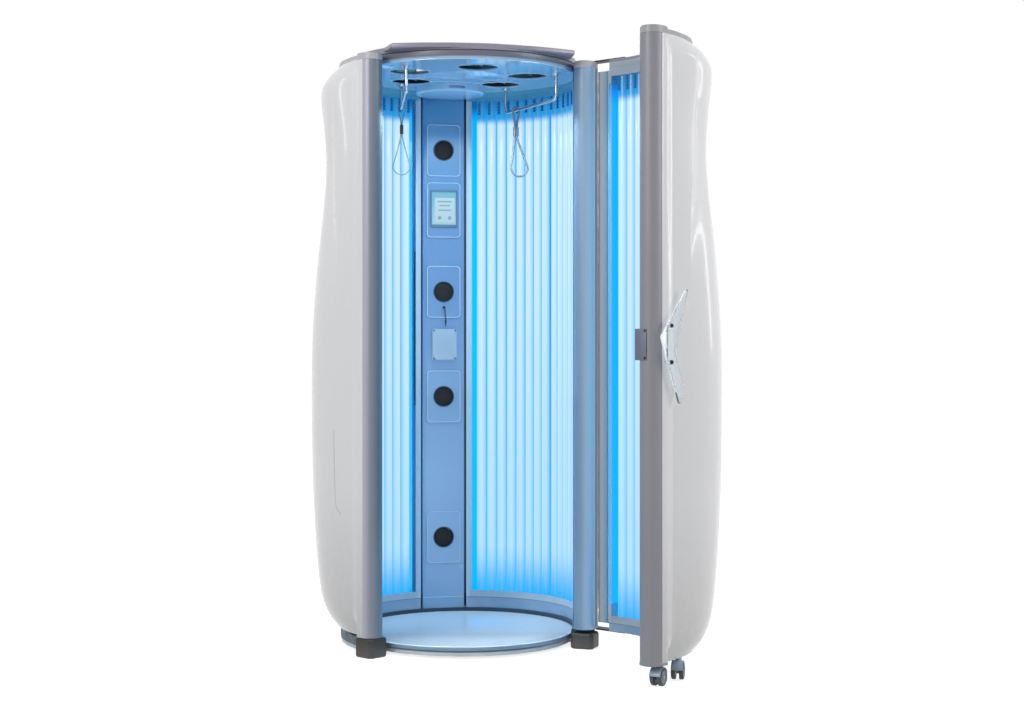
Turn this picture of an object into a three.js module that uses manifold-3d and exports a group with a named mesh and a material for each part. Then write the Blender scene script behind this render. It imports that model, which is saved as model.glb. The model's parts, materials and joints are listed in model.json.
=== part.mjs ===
// Vertical tanning booth: a round lamp cabin with a swinging lamp door, millimetres, +Z up.
// Origin: centre of the standing platform, on the floor. +X right, +Y towards the control column.
import * as THREE from 'three';
import { mergeVertices } from 'three/addons/utils/BufferGeometryUtils.js';
import Module from 'manifold-3d';

const wasm = await Module();
wasm.setup();

// Fits and sheet
const FIT = 0.3;
const SHEET = 2;

// Cabin: inside radius of the lamp wall, and the height of the ceiling over the floor
const CABIN_R = 418;
const CEILING_Z = 2108;
const CEILING_T = 4;
const BASE_UNDER = 10;
const LEDGE_TOP = 28.7;
const LEDGE_W = 74;
const LEDGE_SETBACK = 4;
const BAR_W = 60;
const PAD_R = 45;
const PLATFORM_GAP = 10;
const PLATFORM_T = 16;
const PLATFORM_RIM = 4;
const WALL_GAP = 2;
const WALL_D = 52;
const LIP_W = 26;
const LIP_H = 21.7;
const FOOT_W = 88;
const FOOT_D = 88;
const FOOT_CORNER = 12;
const FOOT_BEVEL = 5;
const REAR_FOOT_R = 26;
const REAR_FOOT_AT = 58;
const SKIRT_H = 68;
const VALANCE_H = 32;

// Posts
const POST_AT = 34;
const POST_OUT = 56;
const POST_W = 80;
const POST_TAIL = 30;
const WALL_CAP_RISE = 30;
const CAP_H = 24.7;
const CAP_CHAMFER = 4;
const SHOE_H = 9;
const SHOE_PROUD = 1.5;

// Lamps and reflectors
const LAMP_D = 38;
const LAMP_CLEAR = 3.93;
const LAMP_GAP = 7;
const LAMPS_PER_GROUP = 8;
const LAMP_HIDDEN = 23;
const LAMP_DEPTH = 2;
const LAMP_SIDES = 8;
const RAIL_BEHIND = 4;
const RAIL_EXTRA = 5;
const RAIL_MARGIN = 2.4;
const RAIL_H = 13;
const REFLECTOR_RIDGE = 7;
const REFLECTOR_LAP = 5;
const STILE_REAR_W = 3;
const STILE_TO_LAMP = 4.9;
const STILE_FRONT_W = 14;

// Column: heights run down from the ceiling, apart from the lowest speaker
const COLUMN_W = 166;
const COLUMN_INSET = 8;
const COLUMN_SEAM = 8.9;
const COLUMN_T = 3;
const COLUMN_RETURN = 30;
const PAD_W = 133;
const PAD_T = 4;
const PAD_CORNER = 14;
const PAD_HALF = 102;
const SPEAKER_D = 77;
const SPEAKER_FLANGE = 8;
const SPEAKER_DEPTH = 26;
const TOP_SPEAKER_DROP = 231;
const DISPLAY_W = 111;
const DISPLAY_H = 149;
const DISPLAY_T = 5;
const DISPLAY_DROP = 232;
const DISPLAY_PAD_H = 217;
const DISPLAY_PAD_DROP = 5;
const EAR_SPEAKER_DROP = 330;
const JACK_DROP = 62;
const JACK_D = 9;
const PLUG_L = 18;
const LEAD_D = 4;
const POCKET_DROP = 86;
const POCKET_W = 98;
const POCKET_H = 123;
const POCKET_D = 25;
const POCKET_WALL = 3;
const POCKET_BACK = 3.5;
const HIP_SPEAKER_DROP = 145;
const LOW_SPEAKER_Z = 340;
const BOX_W = 200;
const BOX_D = 74;
const BOX_H = 620;
const BOX_DROP = 165;

// Roof
const FAN_RING = 235;
const FAN_D = 145;
const FAN_AT = [42, 138, 199, 270, 341];
const FAN_TIP_GAP = 4;
const HUB_D = 46;
const BLADES = 5;
const BLADE_W = 30;
const BLADE_T = 2.2;
const BLADE_PITCH = 28;
const MOTOR_H = 20;
const ROTOR_H = 14;
const ARM_W = 9;
const TRAY_T = 3;
const FASCIA_RISE = 10;
const FASCIA_H = 47;
const FASCIA_BULGE = 2;
const FASCIA_W = 22;
const FASCIA_LEDGE = 12;
const FASCIA_GROOVE = 4;
const ROOF_T = 3;
const ROOF_SUNK = 6;
const OUTLET_D = 270;
const OUTLET_H = 30;
const OUTLET_EDGE = 9;
const OUTLET_GAP = 0.7;
const OUTLET_SLOT_W = 62;
const OUTLET_SLOT_H = 10;
const OUTLET_SLOT_DEPTH = 16;

// Outer shells: radii are given over the cabin's own
const SHELL_T = 3;
const SHELL_RISE = 14;
const SHELL_EDGE_OUT = 88;
const SHELL_EDGE_FOOT = 26;
const SHELL_EDGE_HEAD = 18;
const SHELL_REACH = 46;
const DOOR_BULGE = 50;
const WAIST_DROP = 342;
const RIDGE_HIGH = 24;
const RIDGE_LOW = 18;
const RIDGE_TURN = 420;
const RIDGE_STEP = 9;
const VALLEY_TAIL = 760;
const VALLEY_FULL = 160;
const VALLEY_END = 60;
const VALLEY_RISE = 90;
const BACK_HALF = 28;
const VENT_W = 150;
const VENT_H = 9;
const VENT_PITCH = 26;
const VENT_COUNT = 5;
const VENT_LOW = 230;
const VENT_HIGH = 560;

// Grab bars and hand straps
const BAR_D = 12;
const BAR_DROP = 96;
const BAR_BEND = 26;
const BARS = {
  right: { front: [310, -169], rear: [216, 246], strapAt: 0.785, wire: 8.5, loop: 72, lean: 14 },
  left: { front: [-258, -214], rear: [-201, 229], strapAt: 0.92, wire: 4.2, loop: 66, lean: 0 },
};
const STRAP_APART = 1;
const STRAP_ARCH = 14;
const STRAP_SIDES = 5;
const CRIMP_DROP = 66;
const CRIMP_H = 35;
const CRIMP_WALL = 1.6;
const STRAP_DROP = 256;

// Door: the hinge axis stands beside the right post, HINGE_BACK along the wall and HINGE_OUT outwards
const HINGE_OUT = 6.34;
const HINGE_BACK = 58.62;
const DOOR_OPEN = 80.5;
const DOOR_GAP = 4.27;
const DOOR_END_GAP = 13.66;
const DOOR_STILE = 8.1;
const DOOR_WINDOW_MARGIN = 2.7;
const DOOR_END_STILE = 1.4;
const DOOR_BASE_T = 8;
const PIN_D = 14;
const PIN_HEAD = 24;
const PIN_HEAD_H = 4;
const PIN_COLLAR = 5.1;
const PIN_PLAY = 0.5;
const LUG_H = 18;
const HINGE_ARM_T = 6;
const HINGE_ARM_W = 40;
const HANDLE_T = 8;
const HANDLE_OFF = 18;
const HANDLE_Z = 1109;
const HANDLE_SCREWS = 118;
const HANDLE_POST_D = 14;
const HANDLE_T_AT = 17;
const HANDLE_OUTLINE = [[-52, 23], [44, -194], [74, -150], [20, -25], [90, 170], [84, 179]];
const CATCH_W = 35;
const CATCH_H = 100;
const CATCH_T = 4;
const CATCH_DROP = 2;
const WHEEL_D = 58;
const WHEEL_W = 15;
const WHEEL_GAP = 12;
const WHEEL_EDGE = 5;
const FORK_HEAD = 12;
const AXLE_D = 8;
const TRAIL = 14;
const STEM_D = 22;
const CASTORS = [[62, 4.3], [68, 19.8]];

// Facet steps of the arcs in degrees, and facets round the roof
const ARC_STEP = 6.6;
const BASE_STEP = 10;
const ROOF_SIDES = 28;

const rad = THREE.MathUtils.degToRad;
const deg = THREE.MathUtils.radToDeg;
const smooth = THREE.MathUtils.smoothstep;

// Levels worked up from the castors and down from the ceiling
const SHELL_BOTTOM = WHEEL_D + FORK_HEAD;
const DOOR_BASE_Z = SHELL_BOTTOM;
const POST_BOTTOM = SHELL_BOTTOM;
const LOW_ARM_Z = DOOR_BASE_Z - FIT - HINGE_ARM_T;
const BASE_TOP = LOW_ARM_Z - 2 * FIT - PIN_COLLAR;
const LIP_TOP = BASE_TOP + LIP_H;
const SKIRT_TOP = BASE_TOP + SKIRT_H;
const RAIL_BOTTOM = LIP_TOP + FIT;
const LAMP_BOTTOM = SKIRT_TOP - LAMP_HIDDEN;
const PLATFORM_BOTTOM = LEDGE_TOP + FIT;
const CEILING_TOP = CEILING_Z + CEILING_T;
const VALANCE_BOTTOM = CEILING_Z - VALANCE_H;
const LAMP_TOP = VALANCE_BOTTOM + LAMP_HIDDEN;
const RAIL_TOP = LAMP_TOP + RAIL_H;
const SHELL_TOP = CEILING_Z + SHELL_RISE;
const HEAD_BOTTOM = SHELL_TOP + FIT;
const POST_TOP = CEILING_Z + WALL_CAP_RISE;
const ARM_TOP_Z = POST_TOP + 2 * FIT;
const FASCIA_BOTTOM = CEILING_Z + FASCIA_RISE;
const FASCIA_TOP = FASCIA_BOTTOM + FASCIA_H;
const BAR_Z = CEILING_Z - BAR_DROP;
const CRIMP_TOP = BAR_Z - CRIMP_DROP;
const CRIMP_BOTTOM = CRIMP_TOP - CRIMP_H;
const STRAP_LOW = BAR_Z - STRAP_DROP;
const DISPLAY_Z = CEILING_Z - TOP_SPEAKER_DROP - DISPLAY_DROP;
const EAR_SPEAKER_Z = DISPLAY_Z - EAR_SPEAKER_DROP;
const JACK_Z = EAR_SPEAKER_Z - JACK_DROP;
const POCKET_Z = JACK_Z - POCKET_DROP - POCKET_H;
const SPEAKERS = [CEILING_Z - TOP_SPEAKER_DROP, EAR_SPEAKER_Z, POCKET_Z - HIP_SPEAKER_DROP, LOW_SPEAKER_Z];
const BOX_Z = DISPLAY_Z - BOX_DROP - BOX_H;
const CATCH_Z = HANDLE_Z - CATCH_DROP;

// Radii, from the cabin outwards
const PLATFORM_R = CABIN_R - PLATFORM_GAP;
const LEDGE_OUT = PLATFORM_R - LEDGE_SETBACK;
const LEDGE_R = LEDGE_OUT - LEDGE_W;
const SHEET_R = CABIN_R + SHEET;
const LAMP_R = SHEET_R + RAIL_BEHIND + LAMP_DEPTH + LAMP_D / 2;
const RAIL_IN = SHEET_R + RAIL_BEHIND;
const RAIL_OUT = RAIL_IN + LAMP_D + RAIL_EXTRA;
const WALL_IN = PLATFORM_R + WALL_GAP;
const WALL_OUT = WALL_IN + WALL_D;
const REFLECTOR_IN = RAIL_OUT + FIT;
const POST_R = CABIN_R + POST_OUT;
const SHELL_EDGE_R = CABIN_R + SHELL_EDGE_OUT;
const FASCIA_INNER = CABIN_R - FASCIA_W;
const COLUMN_Y = CABIN_R - COLUMN_INSET;
const TAIL_END = POST_TAIL + FIT;

// Angles round the cabin
const LAMP_PITCH = deg(2 * Math.asin((LAMP_D + LAMP_CLEAR) / 2 / LAMP_R));
const FRONT_EDGE = -POST_AT + deg(Math.asin(TAIL_END / CABIN_R));
const REAR_EDGE = 90 - deg(Math.asin((COLUMN_W / 2 + COLUMN_SEAM) / CABIN_R));
const DOOR_POST_AT = 180 + POST_AT + deg(2 * Math.asin((POST_W + DOOR_GAP) / 2 / POST_R));
const DOOR_END = 360 - POST_AT - deg(Math.asin((POST_W / 2 + DOOR_END_GAP) / POST_R));

// Outer shell heights and radii: foot flare from the bottom, waist and shoulder from the top.
const SHELL_STATIONS = [
  [SHELL_BOTTOM, 52], [SHELL_BOTTOM + 40, 87], [SHELL_BOTTOM + 120, 116],
  [SHELL_BOTTOM + 280, 134], [SHELL_BOTTOM + 530, 147], [SHELL_BOTTOM + 830, 151],
  [SHELL_TOP - 972, 148], [SHELL_TOP - 722, 130], [SHELL_TOP - 472, 103],
  [SHELL_TOP - WAIST_DROP, 97], [SHELL_TOP - 222, 104], [SHELL_TOP - 112, 116],
  [SHELL_TOP - 62, 110], [SHELL_TOP - 22, 82], [SHELL_TOP, 50],
].map(([z, out]) => [z, CABIN_R + out]);

function at(radius, angle) {
  return new THREE.Vector2(radius * Math.cos(rad(angle)), radius * Math.sin(rad(angle)));
}

function outward(geometry) {
  const g = geometry.clone();
  g.deleteAttribute('normal');
  g.deleteAttribute('uv');
  const m = mergeVertices(g, 1e-4);
  const p = m.attributes.position;
  const index = m.index.array;
  const a = new THREE.Vector3();
  const b = new THREE.Vector3();
  const c = new THREE.Vector3();
  let volume = 0;
  for (let i = 0; i < index.length; i += 3) {
    a.fromBufferAttribute(p, index[i]);
    b.fromBufferAttribute(p, index[i + 1]);
    c.fromBufferAttribute(p, index[i + 2]);
    volume += a.dot(b.cross(c));
  }
  if (volume < 0) {
    for (let i = 0; i < index.length; i += 3) {
      const keep = index[i];
      index[i] = index[i + 1];
      index[i + 1] = keep;
    }
  }
  return m;
}

function solid(geometry) {
  const m = outward(geometry);
  const vertProperties = new Float32Array(m.attributes.position.array);
  const triVerts = new Uint32Array(m.index.array);
  return new wasm.Manifold(new wasm.Mesh({ numProp: 3, vertProperties, triVerts }));
}

function union(...geometries) {
  let whole = solid(geometries[0]);
  for (const g of geometries.slice(1)) whole = whole.add(solid(g));
  return shape(whole);
}

function cut(geometry, ...tools) {
  let whole = solid(geometry);
  for (const g of tools) whole = whole.subtract(solid(g));
  return shape(whole);
}

function shape(manifold) {
  const mesh = manifold.getMesh();
  const g = new THREE.BufferGeometry();
  g.setAttribute('position', new THREE.BufferAttribute(new Float32Array(mesh.vertProperties), 3));
  g.setIndex(new THREE.BufferAttribute(new Uint32Array(mesh.triVerts), 1));
  return g;
}

function slab(outline, z0, z1) {
  const g = new THREE.ExtrudeGeometry(outline, { depth: z1 - z0, bevelEnabled: false, curveSegments: 8 });
  g.translate(0, 0, z0);
  return g;
}

function sector(rIn, rOut, a0, a1, step = ARC_STEP) {
  const n = Math.max(2, Math.ceil(Math.abs(a1 - a0) / step));
  const points = [];
  for (let i = 0; i <= n; i += 1) {
    const a = a0 + (a1 - a0) * i / n;
    points.push(at(typeof rOut === 'function' ? rOut(a) : rOut, a));
  }
  for (let i = n; i >= 0; i -= 1) points.push(at(rIn, a0 + (a1 - a0) * i / n));
  return new THREE.Shape(points);
}

function arcSlab(rIn, rOut, a0, a1, z0, z1, step) {
  return slab(sector(rIn, rOut, a0, a1, step), z0, z1);
}

function block(x0, x1, y0, y1, z0, z1) {
  const g = new THREE.BoxGeometry(x1 - x0, y1 - y0, z1 - z0);
  g.translate((x0 + x1) / 2, (y0 + y1) / 2, (z0 + z1) / 2);
  return g;
}

function drum(x, y, radius, z0, z1, sides = 20) {
  const g = new THREE.CylinderGeometry(radius, radius, z1 - z0, sides);
  g.rotateX(Math.PI / 2);
  g.translate(x, y, (z0 + z1) / 2);
  return g;
}

function turned(points, segments) {
  const g = new THREE.LatheGeometry(points.map(([r, z]) => new THREE.Vector2(r, z)), segments);
  g.rotateX(Math.PI / 2);
  return g;
}

function roundedRect(w, h, r) {
  const s = new THREE.Shape();
  s.moveTo(-w / 2 + r, -h / 2);
  s.lineTo(w / 2 - r, -h / 2);
  s.absarc(w / 2 - r, -h / 2 + r, r, -Math.PI / 2, 0);
  s.lineTo(w / 2, h / 2 - r);
  s.absarc(w / 2 - r, h / 2 - r, r, 0, Math.PI / 2);
  s.lineTo(-w / 2 + r, h / 2);
  s.absarc(-w / 2 + r, h / 2 - r, r, Math.PI / 2, Math.PI);
  s.lineTo(-w / 2, -h / 2 + r);
  s.absarc(-w / 2 + r, -h / 2 + r, r, Math.PI, Math.PI * 1.5);
  return s;
}

// A plate standing upright across the column: outline in X and Z, thickness along Y.
function upright(outline, z, y0, y1, curveSegments = 4) {
  const g = new THREE.ExtrudeGeometry(outline, { depth: y1 - y0, bevelEnabled: false, curveSegments });
  g.rotateX(Math.PI / 2);
  g.translate(0, y1, z);
  return g;
}

// Closed tube round a closed curve, without the doubled end ring of an open sweep.
function closedTube(points, radius, sides, normal) {
  const n = points.length;
  const positions = [];
  const index = [];
  for (let i = 0; i < n; i += 1) {
    const ahead = points[(i + 1) % n].clone().sub(points[(i + n - 1) % n]).normalize();
    const across = new THREE.Vector3().crossVectors(ahead, normal).normalize();
    for (let k = 0; k < sides; k += 1) {
      const a = 2 * Math.PI * (k + 0.5) / sides;
      const p = points[i].clone();
      p.addScaledVector(across, radius * Math.cos(a));
      p.addScaledVector(normal, radius * Math.sin(a));
      positions.push(p.x, p.y, p.z);
    }
  }
  for (let i = 0; i < n; i += 1) {
    for (let k = 0; k < sides; k += 1) {
      const a = i * sides + k;
      const b = i * sides + (k + 1) % sides;
      const c = ((i + 1) % n) * sides + k;
      const d = ((i + 1) % n) * sides + (k + 1) % sides;
      index.push(a, b, c, b, d, c);
    }
  }
  const g = new THREE.BufferGeometry();
  g.setAttribute('position', new THREE.Float32BufferAttribute(positions, 3));
  g.setIndex(index);
  return g;
}

// Bar or lead along a path: a round section swept with square ends.
function swept(path, radius, sides, steps) {
  const section = new THREE.Shape();
  for (let k = 0; k < sides; k += 1) {
    const a = 2 * Math.PI * k / sides;
    if (k === 0) section.moveTo(radius * Math.cos(a), radius * Math.sin(a));
    else section.lineTo(radius * Math.cos(a), radius * Math.sin(a));
  }
  return new THREE.ExtrudeGeometry(section, { steps, bevelEnabled: false, extrudePath: path });
}

const hinge = at(POST_R + HINGE_OUT, -POST_AT).add(at(HINGE_BACK, 90 - POST_AT));
const HINGE_R = hinge.length();
const HINGE_AT = deg(hinge.angle()) - 360;

const root = new THREE.Group();
const door = new THREE.Group();
door.position.set(hinge.x, hinge.y, 0);
door.rotation.z = rad(DOOR_OPEN);
const doorFrame = new THREE.Group();
doorFrame.position.set(-hinge.x, -hinge.y, 0);
door.add(doorFrame);
root.add(door);

function piece(parent, name, geometry, color, roughness, metalness) {
  const paint = new THREE.MeshStandardMaterial({ color, roughness, metalness });
  const mesh = new THREE.Mesh(outward(geometry), paint);
  mesh.name = name;
  parent.add(mesh);
  return mesh;
}

// Mirror of a cabin piece from the right wall to the left wall.
function mirrored(geometry) {
  return geometry.clone().scale(-1, 1, 1);
}

const PAINT_DARK = 0x2b2d30;
const PAINT_GREY = 0x8f9498;
const PAINT_WHITE = 0xe4e5e6;
const PAINT_SILVER = 0xa9adb0;
const PAINT_PALE = 0xbcd3ee;
const GLOW = 0xc8eeff;
const MIRROR = 0x6fc4f2;
const CHROME = 0xc9ccd0;

// Base frame: ledge ring and cross under the platform, wall kerb behind it, lip for the lampholders.
const lampAngles = [];
let lampAt = REAR_EDGE - STILE_REAR_W - STILE_TO_LAMP;
for (let i = 0; i < 2 * LAMPS_PER_GROUP && lampAt > FRONT_EDGE + STILE_FRONT_W; i += 1) {
  lampAngles.push(lampAt);
  lampAt -= i === LAMPS_PER_GROUP - 1 ? LAMP_GAP : LAMP_PITCH;
}
const lastLamp = lampAngles[lampAngles.length - 1];
const railFront = lastLamp - RAIL_MARGIN;
const railRear = lampAngles[0] + RAIL_MARGIN;
const kerbEnd = -POST_AT + deg(Math.asin((FOOT_W / 2 + FIT) / (POST_R - FOOT_D / 2 + FOOT_CORNER)));
const baseRing = turned([
  [LEDGE_R, BASE_UNDER], [LEDGE_OUT, BASE_UNDER], [LEDGE_OUT, LEDGE_TOP],
  [LEDGE_R, LEDGE_TOP], [LEDGE_R, BASE_UNDER],
], 24);
const lip = arcSlab(WALL_OUT - LIP_W, WALL_OUT, railFront, railRear, BASE_TOP - 2, LIP_TOP, BASE_STEP);
const lugR = PIN_HEAD / 2 + 1;
const baseFrame = union(
  baseRing,
  arcSlab(LEDGE_OUT - 12, WALL_OUT - 4, kerbEnd, 180 - kerbEnd, BASE_UNDER, LEDGE_TOP - 1, BASE_STEP),
  arcSlab(WALL_IN, WALL_OUT, kerbEnd, 180 - kerbEnd, LEDGE_TOP - 4, BASE_TOP, BASE_STEP),
  lip,
  mirrored(lip),
  block(-LEDGE_R - 10, LEDGE_R + 10, -BAR_W / 2, BAR_W / 2, BASE_UNDER, LEDGE_TOP),
  block(-BAR_W / 2, BAR_W / 2, -LEDGE_R - 10, LEDGE_R + 10, BASE_UNDER, LEDGE_TOP),
  drum(0, 0, PAD_R, 0, LEDGE_TOP - 2, 10),
  drum(hinge.x, hinge.y, lugR, BASE_TOP - LUG_H, BASE_TOP, 8),
  arcSlab(HINGE_R - 50, HINGE_R, HINGE_AT + 0.2, HINGE_AT + 6, BASE_TOP - LUG_H, BASE_TOP),
);
piece(root, 'base_frame', baseFrame, PAINT_DARK, 0.6, 0.4);

const rim = PLATFORM_RIM;
const platformTop = PLATFORM_BOTTOM + PLATFORM_T;
piece(root, 'platform', turned([
  [0, PLATFORM_BOTTOM], [PLATFORM_R - rim, PLATFORM_BOTTOM], [PLATFORM_R, PLATFORM_BOTTOM + rim],
  [PLATFORM_R, platformTop - rim], [PLATFORM_R - rim, platformTop], [0, platformTop],
], 36), PAINT_PALE, 0.25, 0);

// Feet: tapered blocks under the two posts and round feet under the rear kerb.
function footBlock(height) {
  const w = FOOT_W / 2;
  const d = FOOT_D / 2;
  const c = FOOT_CORNER;
  const outline = new THREE.Shape([
    new THREE.Vector2(-d + c, -w), new THREE.Vector2(d - c, -w), new THREE.Vector2(d, -w + c),
    new THREE.Vector2(d, w - c), new THREE.Vector2(d - c, w), new THREE.Vector2(-d + c, w),
    new THREE.Vector2(-d, w - c), new THREE.Vector2(-d, -w + c),
  ]);
  const g = new THREE.ExtrudeGeometry(outline, {
    depth: height - 2 * FOOT_BEVEL,
    bevelThickness: FOOT_BEVEL,
    bevelSize: FOOT_BEVEL,
    bevelOffset: -FOOT_BEVEL,
    bevelSegments: 1,
  });
  g.translate(0, 0, FOOT_BEVEL);
  return g;
}
const rightFoot = footBlock(BASE_TOP);
rightFoot.rotateZ(rad(-POST_AT));
rightFoot.translate(at(POST_R, -POST_AT).x, at(POST_R, -POST_AT).y, 0);
const leftFoot = footBlock(SHELL_BOTTOM - FIT);
leftFoot.rotateZ(rad(180 + POST_AT));
leftFoot.translate(at(POST_R, 180 + POST_AT).x, at(POST_R, 180 + POST_AT).y, 0);
piece(root, 'foot_front_right', rightFoot, PAINT_DARK, 0.7, 0);
piece(root, 'foot_front_left', leftFoot, PAINT_DARK, 0.7, 0);
for (const [name, angle] of [['foot_rear_right', REAR_FOOT_AT], ['foot_rear_left', 180 - REAR_FOOT_AT]]) {
  const p = at((WALL_IN + WALL_OUT) / 2, angle);
  const foot = turned([
    [0, 0], [REAR_FOOT_R, 0], [REAR_FOOT_R, 4], [REAR_FOOT_R - 8, 6], [REAR_FOOT_R - 8, BASE_UNDER - FIT],
    [0, BASE_UNDER - FIT],
  ], 10);
  foot.translate(p.x, p.y, 0);
  piece(root, name, foot, PAINT_DARK, 0.7, 0);
}

// Posts: bullnose extrusion, round towards the doorway, flat where the wall meets it.
function postOutline(side, grow = 0) {
  const r = POST_W / 2 + grow;
  const points = [new THREE.Vector2(r, -POST_TAIL * side), new THREE.Vector2(r, 0)];
  const n = 10;
  for (let i = 1; i < n; i += 1) {
    const a = Math.PI * i / n;
    points.push(new THREE.Vector2(r * Math.cos(a), r * Math.sin(a) * side));
  }
  points.push(new THREE.Vector2(-r, 0), new THREE.Vector2(-r, -POST_TAIL * side));
  return new THREE.Shape(points);
}
function placed(geometry, angle) {
  const p = at(POST_R, angle);
  geometry.rotateZ(rad(angle));
  geometry.translate(p.x, p.y, 0);
  return geometry;
}
const capSeat = POST_TOP - CAP_H;
function postBody(side, angle) {
  return placed(union(
    slab(postOutline(side), POST_BOTTOM, capSeat - FIT),
    slab(postOutline(side, SHOE_PROUD), POST_BOTTOM, POST_BOTTOM + SHOE_H),
  ), angle);
}
function postCap(side, angle) {
  return placed(union(
    slab(postOutline(side), capSeat, POST_TOP - CAP_CHAMFER),
    slab(postOutline(side, -CAP_CHAMFER), POST_TOP - CAP_CHAMFER - 1, POST_TOP),
  ), angle);
}
piece(root, 'post_left', postBody(1, 180 + POST_AT), PAINT_GREY, 0.4, 0.6);
piece(root, 'post_right', postBody(-1, -POST_AT), PAINT_GREY, 0.4, 0.6);

// Right wall: sheet surround with the lamp window, lamp bank on its two lampholder rails, reflector.
const windowFront = lastLamp - RAIL_MARGIN - 0.4;
const windowRear = REAR_EDGE - STILE_REAR_W;
const surround = cut(
  arcSlab(CABIN_R, SHEET_R, FRONT_EDGE, REAR_EDGE, BASE_TOP + FIT, CEILING_Z - FIT),
  arcSlab(CABIN_R - 20, SHEET_R + 20, windowFront, windowRear, SKIRT_TOP, VALANCE_BOTTOM),
);
function lampBank(angles, low, railFrom, railTo) {
  const lamps = angles.map((a) => {
    const p = at(LAMP_R, a);
    const lamp = drum(0, 0, LAMP_D / 2, LAMP_BOTTOM - 3, LAMP_TOP + 3, LAMP_SIDES);
    lamp.rotateZ(rad(a));
    lamp.translate(p.x, p.y, 0);
    return lamp;
  });
  return union(
    arcSlab(RAIL_IN, RAIL_OUT, railFrom, railTo, low, LAMP_BOTTOM),
    arcSlab(RAIL_IN, RAIL_OUT, railFrom, railTo, LAMP_TOP, RAIL_TOP),
    ...lamps,
  );
}
// Reflector: one ridged sheet, a ridge between each pair of lamps.
function reflector(from, to) {
  const n = Math.round((to - from) / LAMP_PITCH) * 2;
  const inner = [];
  const outer = [];
  for (let i = 0; i <= n; i += 1) {
    const a = from + (to - from) * i / n;
    const r = REFLECTOR_IN + (i % 2 === 0 ? 0 : REFLECTOR_RIDGE);
    inner.push(at(r, a));
    outer.push(at(r + SHEET, a));
  }
  return slab(new THREE.Shape([...outer, ...inner.reverse()]),
    LAMP_BOTTOM - REFLECTOR_LAP, LAMP_TOP + REFLECTOR_LAP);
}
const wallBank = lampBank(lampAngles, RAIL_BOTTOM, railFront, railRear);
const wallReflector = reflector(railFront, windowRear + 1);
piece(root, 'surround_right', surround, PAINT_SILVER, 0.45, 0.3);
piece(root, 'surround_left', mirrored(surround), PAINT_SILVER, 0.45, 0.3);
piece(root, 'lamp_bank_right', wallBank, GLOW, 0.3, 0);
piece(root, 'lamp_bank_left', mirrored(wallBank), GLOW, 0.3, 0);
piece(root, 'reflector_right', wallReflector, MIRROR, 0.2, 0.8);
piece(root, 'reflector_left', mirrored(wallReflector), MIRROR, 0.2, 0.8);

// Control column: flat folded panel with raised pads, speakers behind it, display, pocket, audio lead.
const columnBack = COLUMN_Y + COLUMN_T;
const returnEnd = COLUMN_Y + COLUMN_RETURN;
const half = COLUMN_W / 2;
const columnTop = CEILING_Z - FIT;
const columnShape = new THREE.Shape([
  new THREE.Vector2(-half, COLUMN_Y), new THREE.Vector2(half, COLUMN_Y), new THREE.Vector2(half, returnEnd),
  new THREE.Vector2(half - COLUMN_T, returnEnd), new THREE.Vector2(half - COLUMN_T, columnBack),
  new THREE.Vector2(-half + COLUMN_T, columnBack), new THREE.Vector2(-half + COLUMN_T, returnEnd),
  new THREE.Vector2(-half, returnEnd),
]);
const padFront = COLUMN_Y - PAD_T;
const padAt = (z, height) => upright(roundedRect(PAD_W, height, PAD_CORNER), z, padFront, COLUMN_Y + 1, 2);
const pads = SPEAKERS.map((z) => padAt(z, 2 * PAD_HALF));
pads.push(padAt(DISPLAY_Z - DISPLAY_PAD_DROP, DISPLAY_PAD_H));
const speakerHoles = SPEAKERS.map((z) =>
  upright(new THREE.Shape().absarc(0, 0, SPEAKER_D / 2, 0, Math.PI * 2), z,
    padFront - 5, columnBack + 5, 5));
const column = cut(union(slab(columnShape, BASE_TOP + FIT, columnTop), ...pads), ...speakerHoles);
piece(root, 'column', column, PAINT_PALE, 0.35, 0);

const coneR = SPEAKER_D / 2;
SPEAKERS.forEach((z, i) => {
  const profile = [
    [0, SPEAKER_DEPTH * 0.35], [coneR * 0.32, SPEAKER_DEPTH * 0.5], [coneR * 0.92, 1.5],
    [coneR + SPEAKER_FLANGE, 0], [coneR + SPEAKER_FLANGE, 3], [coneR * 0.6, SPEAKER_DEPTH - 8],
    [coneR * 0.6, SPEAKER_DEPTH], [0, SPEAKER_DEPTH],
  ];
  const g = new THREE.LatheGeometry(profile.map(([r, y]) => new THREE.Vector2(r, y)), 8);
  g.translate(0, columnBack + FIT, z);
  piece(root, `speaker_${i + 1}`, g, 0x17181a, 0.7, 0);
});

const display = upright(roundedRect(DISPLAY_W, DISPLAY_H, 7), DISPLAY_Z, padFront - FIT - DISPLAY_T,
  padFront - FIT, 2);
piece(root, 'display', display, 0x9fc3ea, 0.15, 0);

const pocketBack = COLUMN_Y - FIT;
const pocketFront = pocketBack - POCKET_D;
const pw = POCKET_W / 2;
const pocket = cut(
  block(-pw, pw, pocketFront, pocketBack, POCKET_Z, POCKET_Z + POCKET_H),
  block(-pw + POCKET_WALL, pw - POCKET_WALL, pocketFront + POCKET_WALL,
    pocketBack - POCKET_BACK,
    POCKET_Z + POCKET_WALL, POCKET_Z + POCKET_H + 5),
);
piece(root, 'phone_pocket', pocket, 0xd7e7f7, 0.05, 0);

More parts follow.
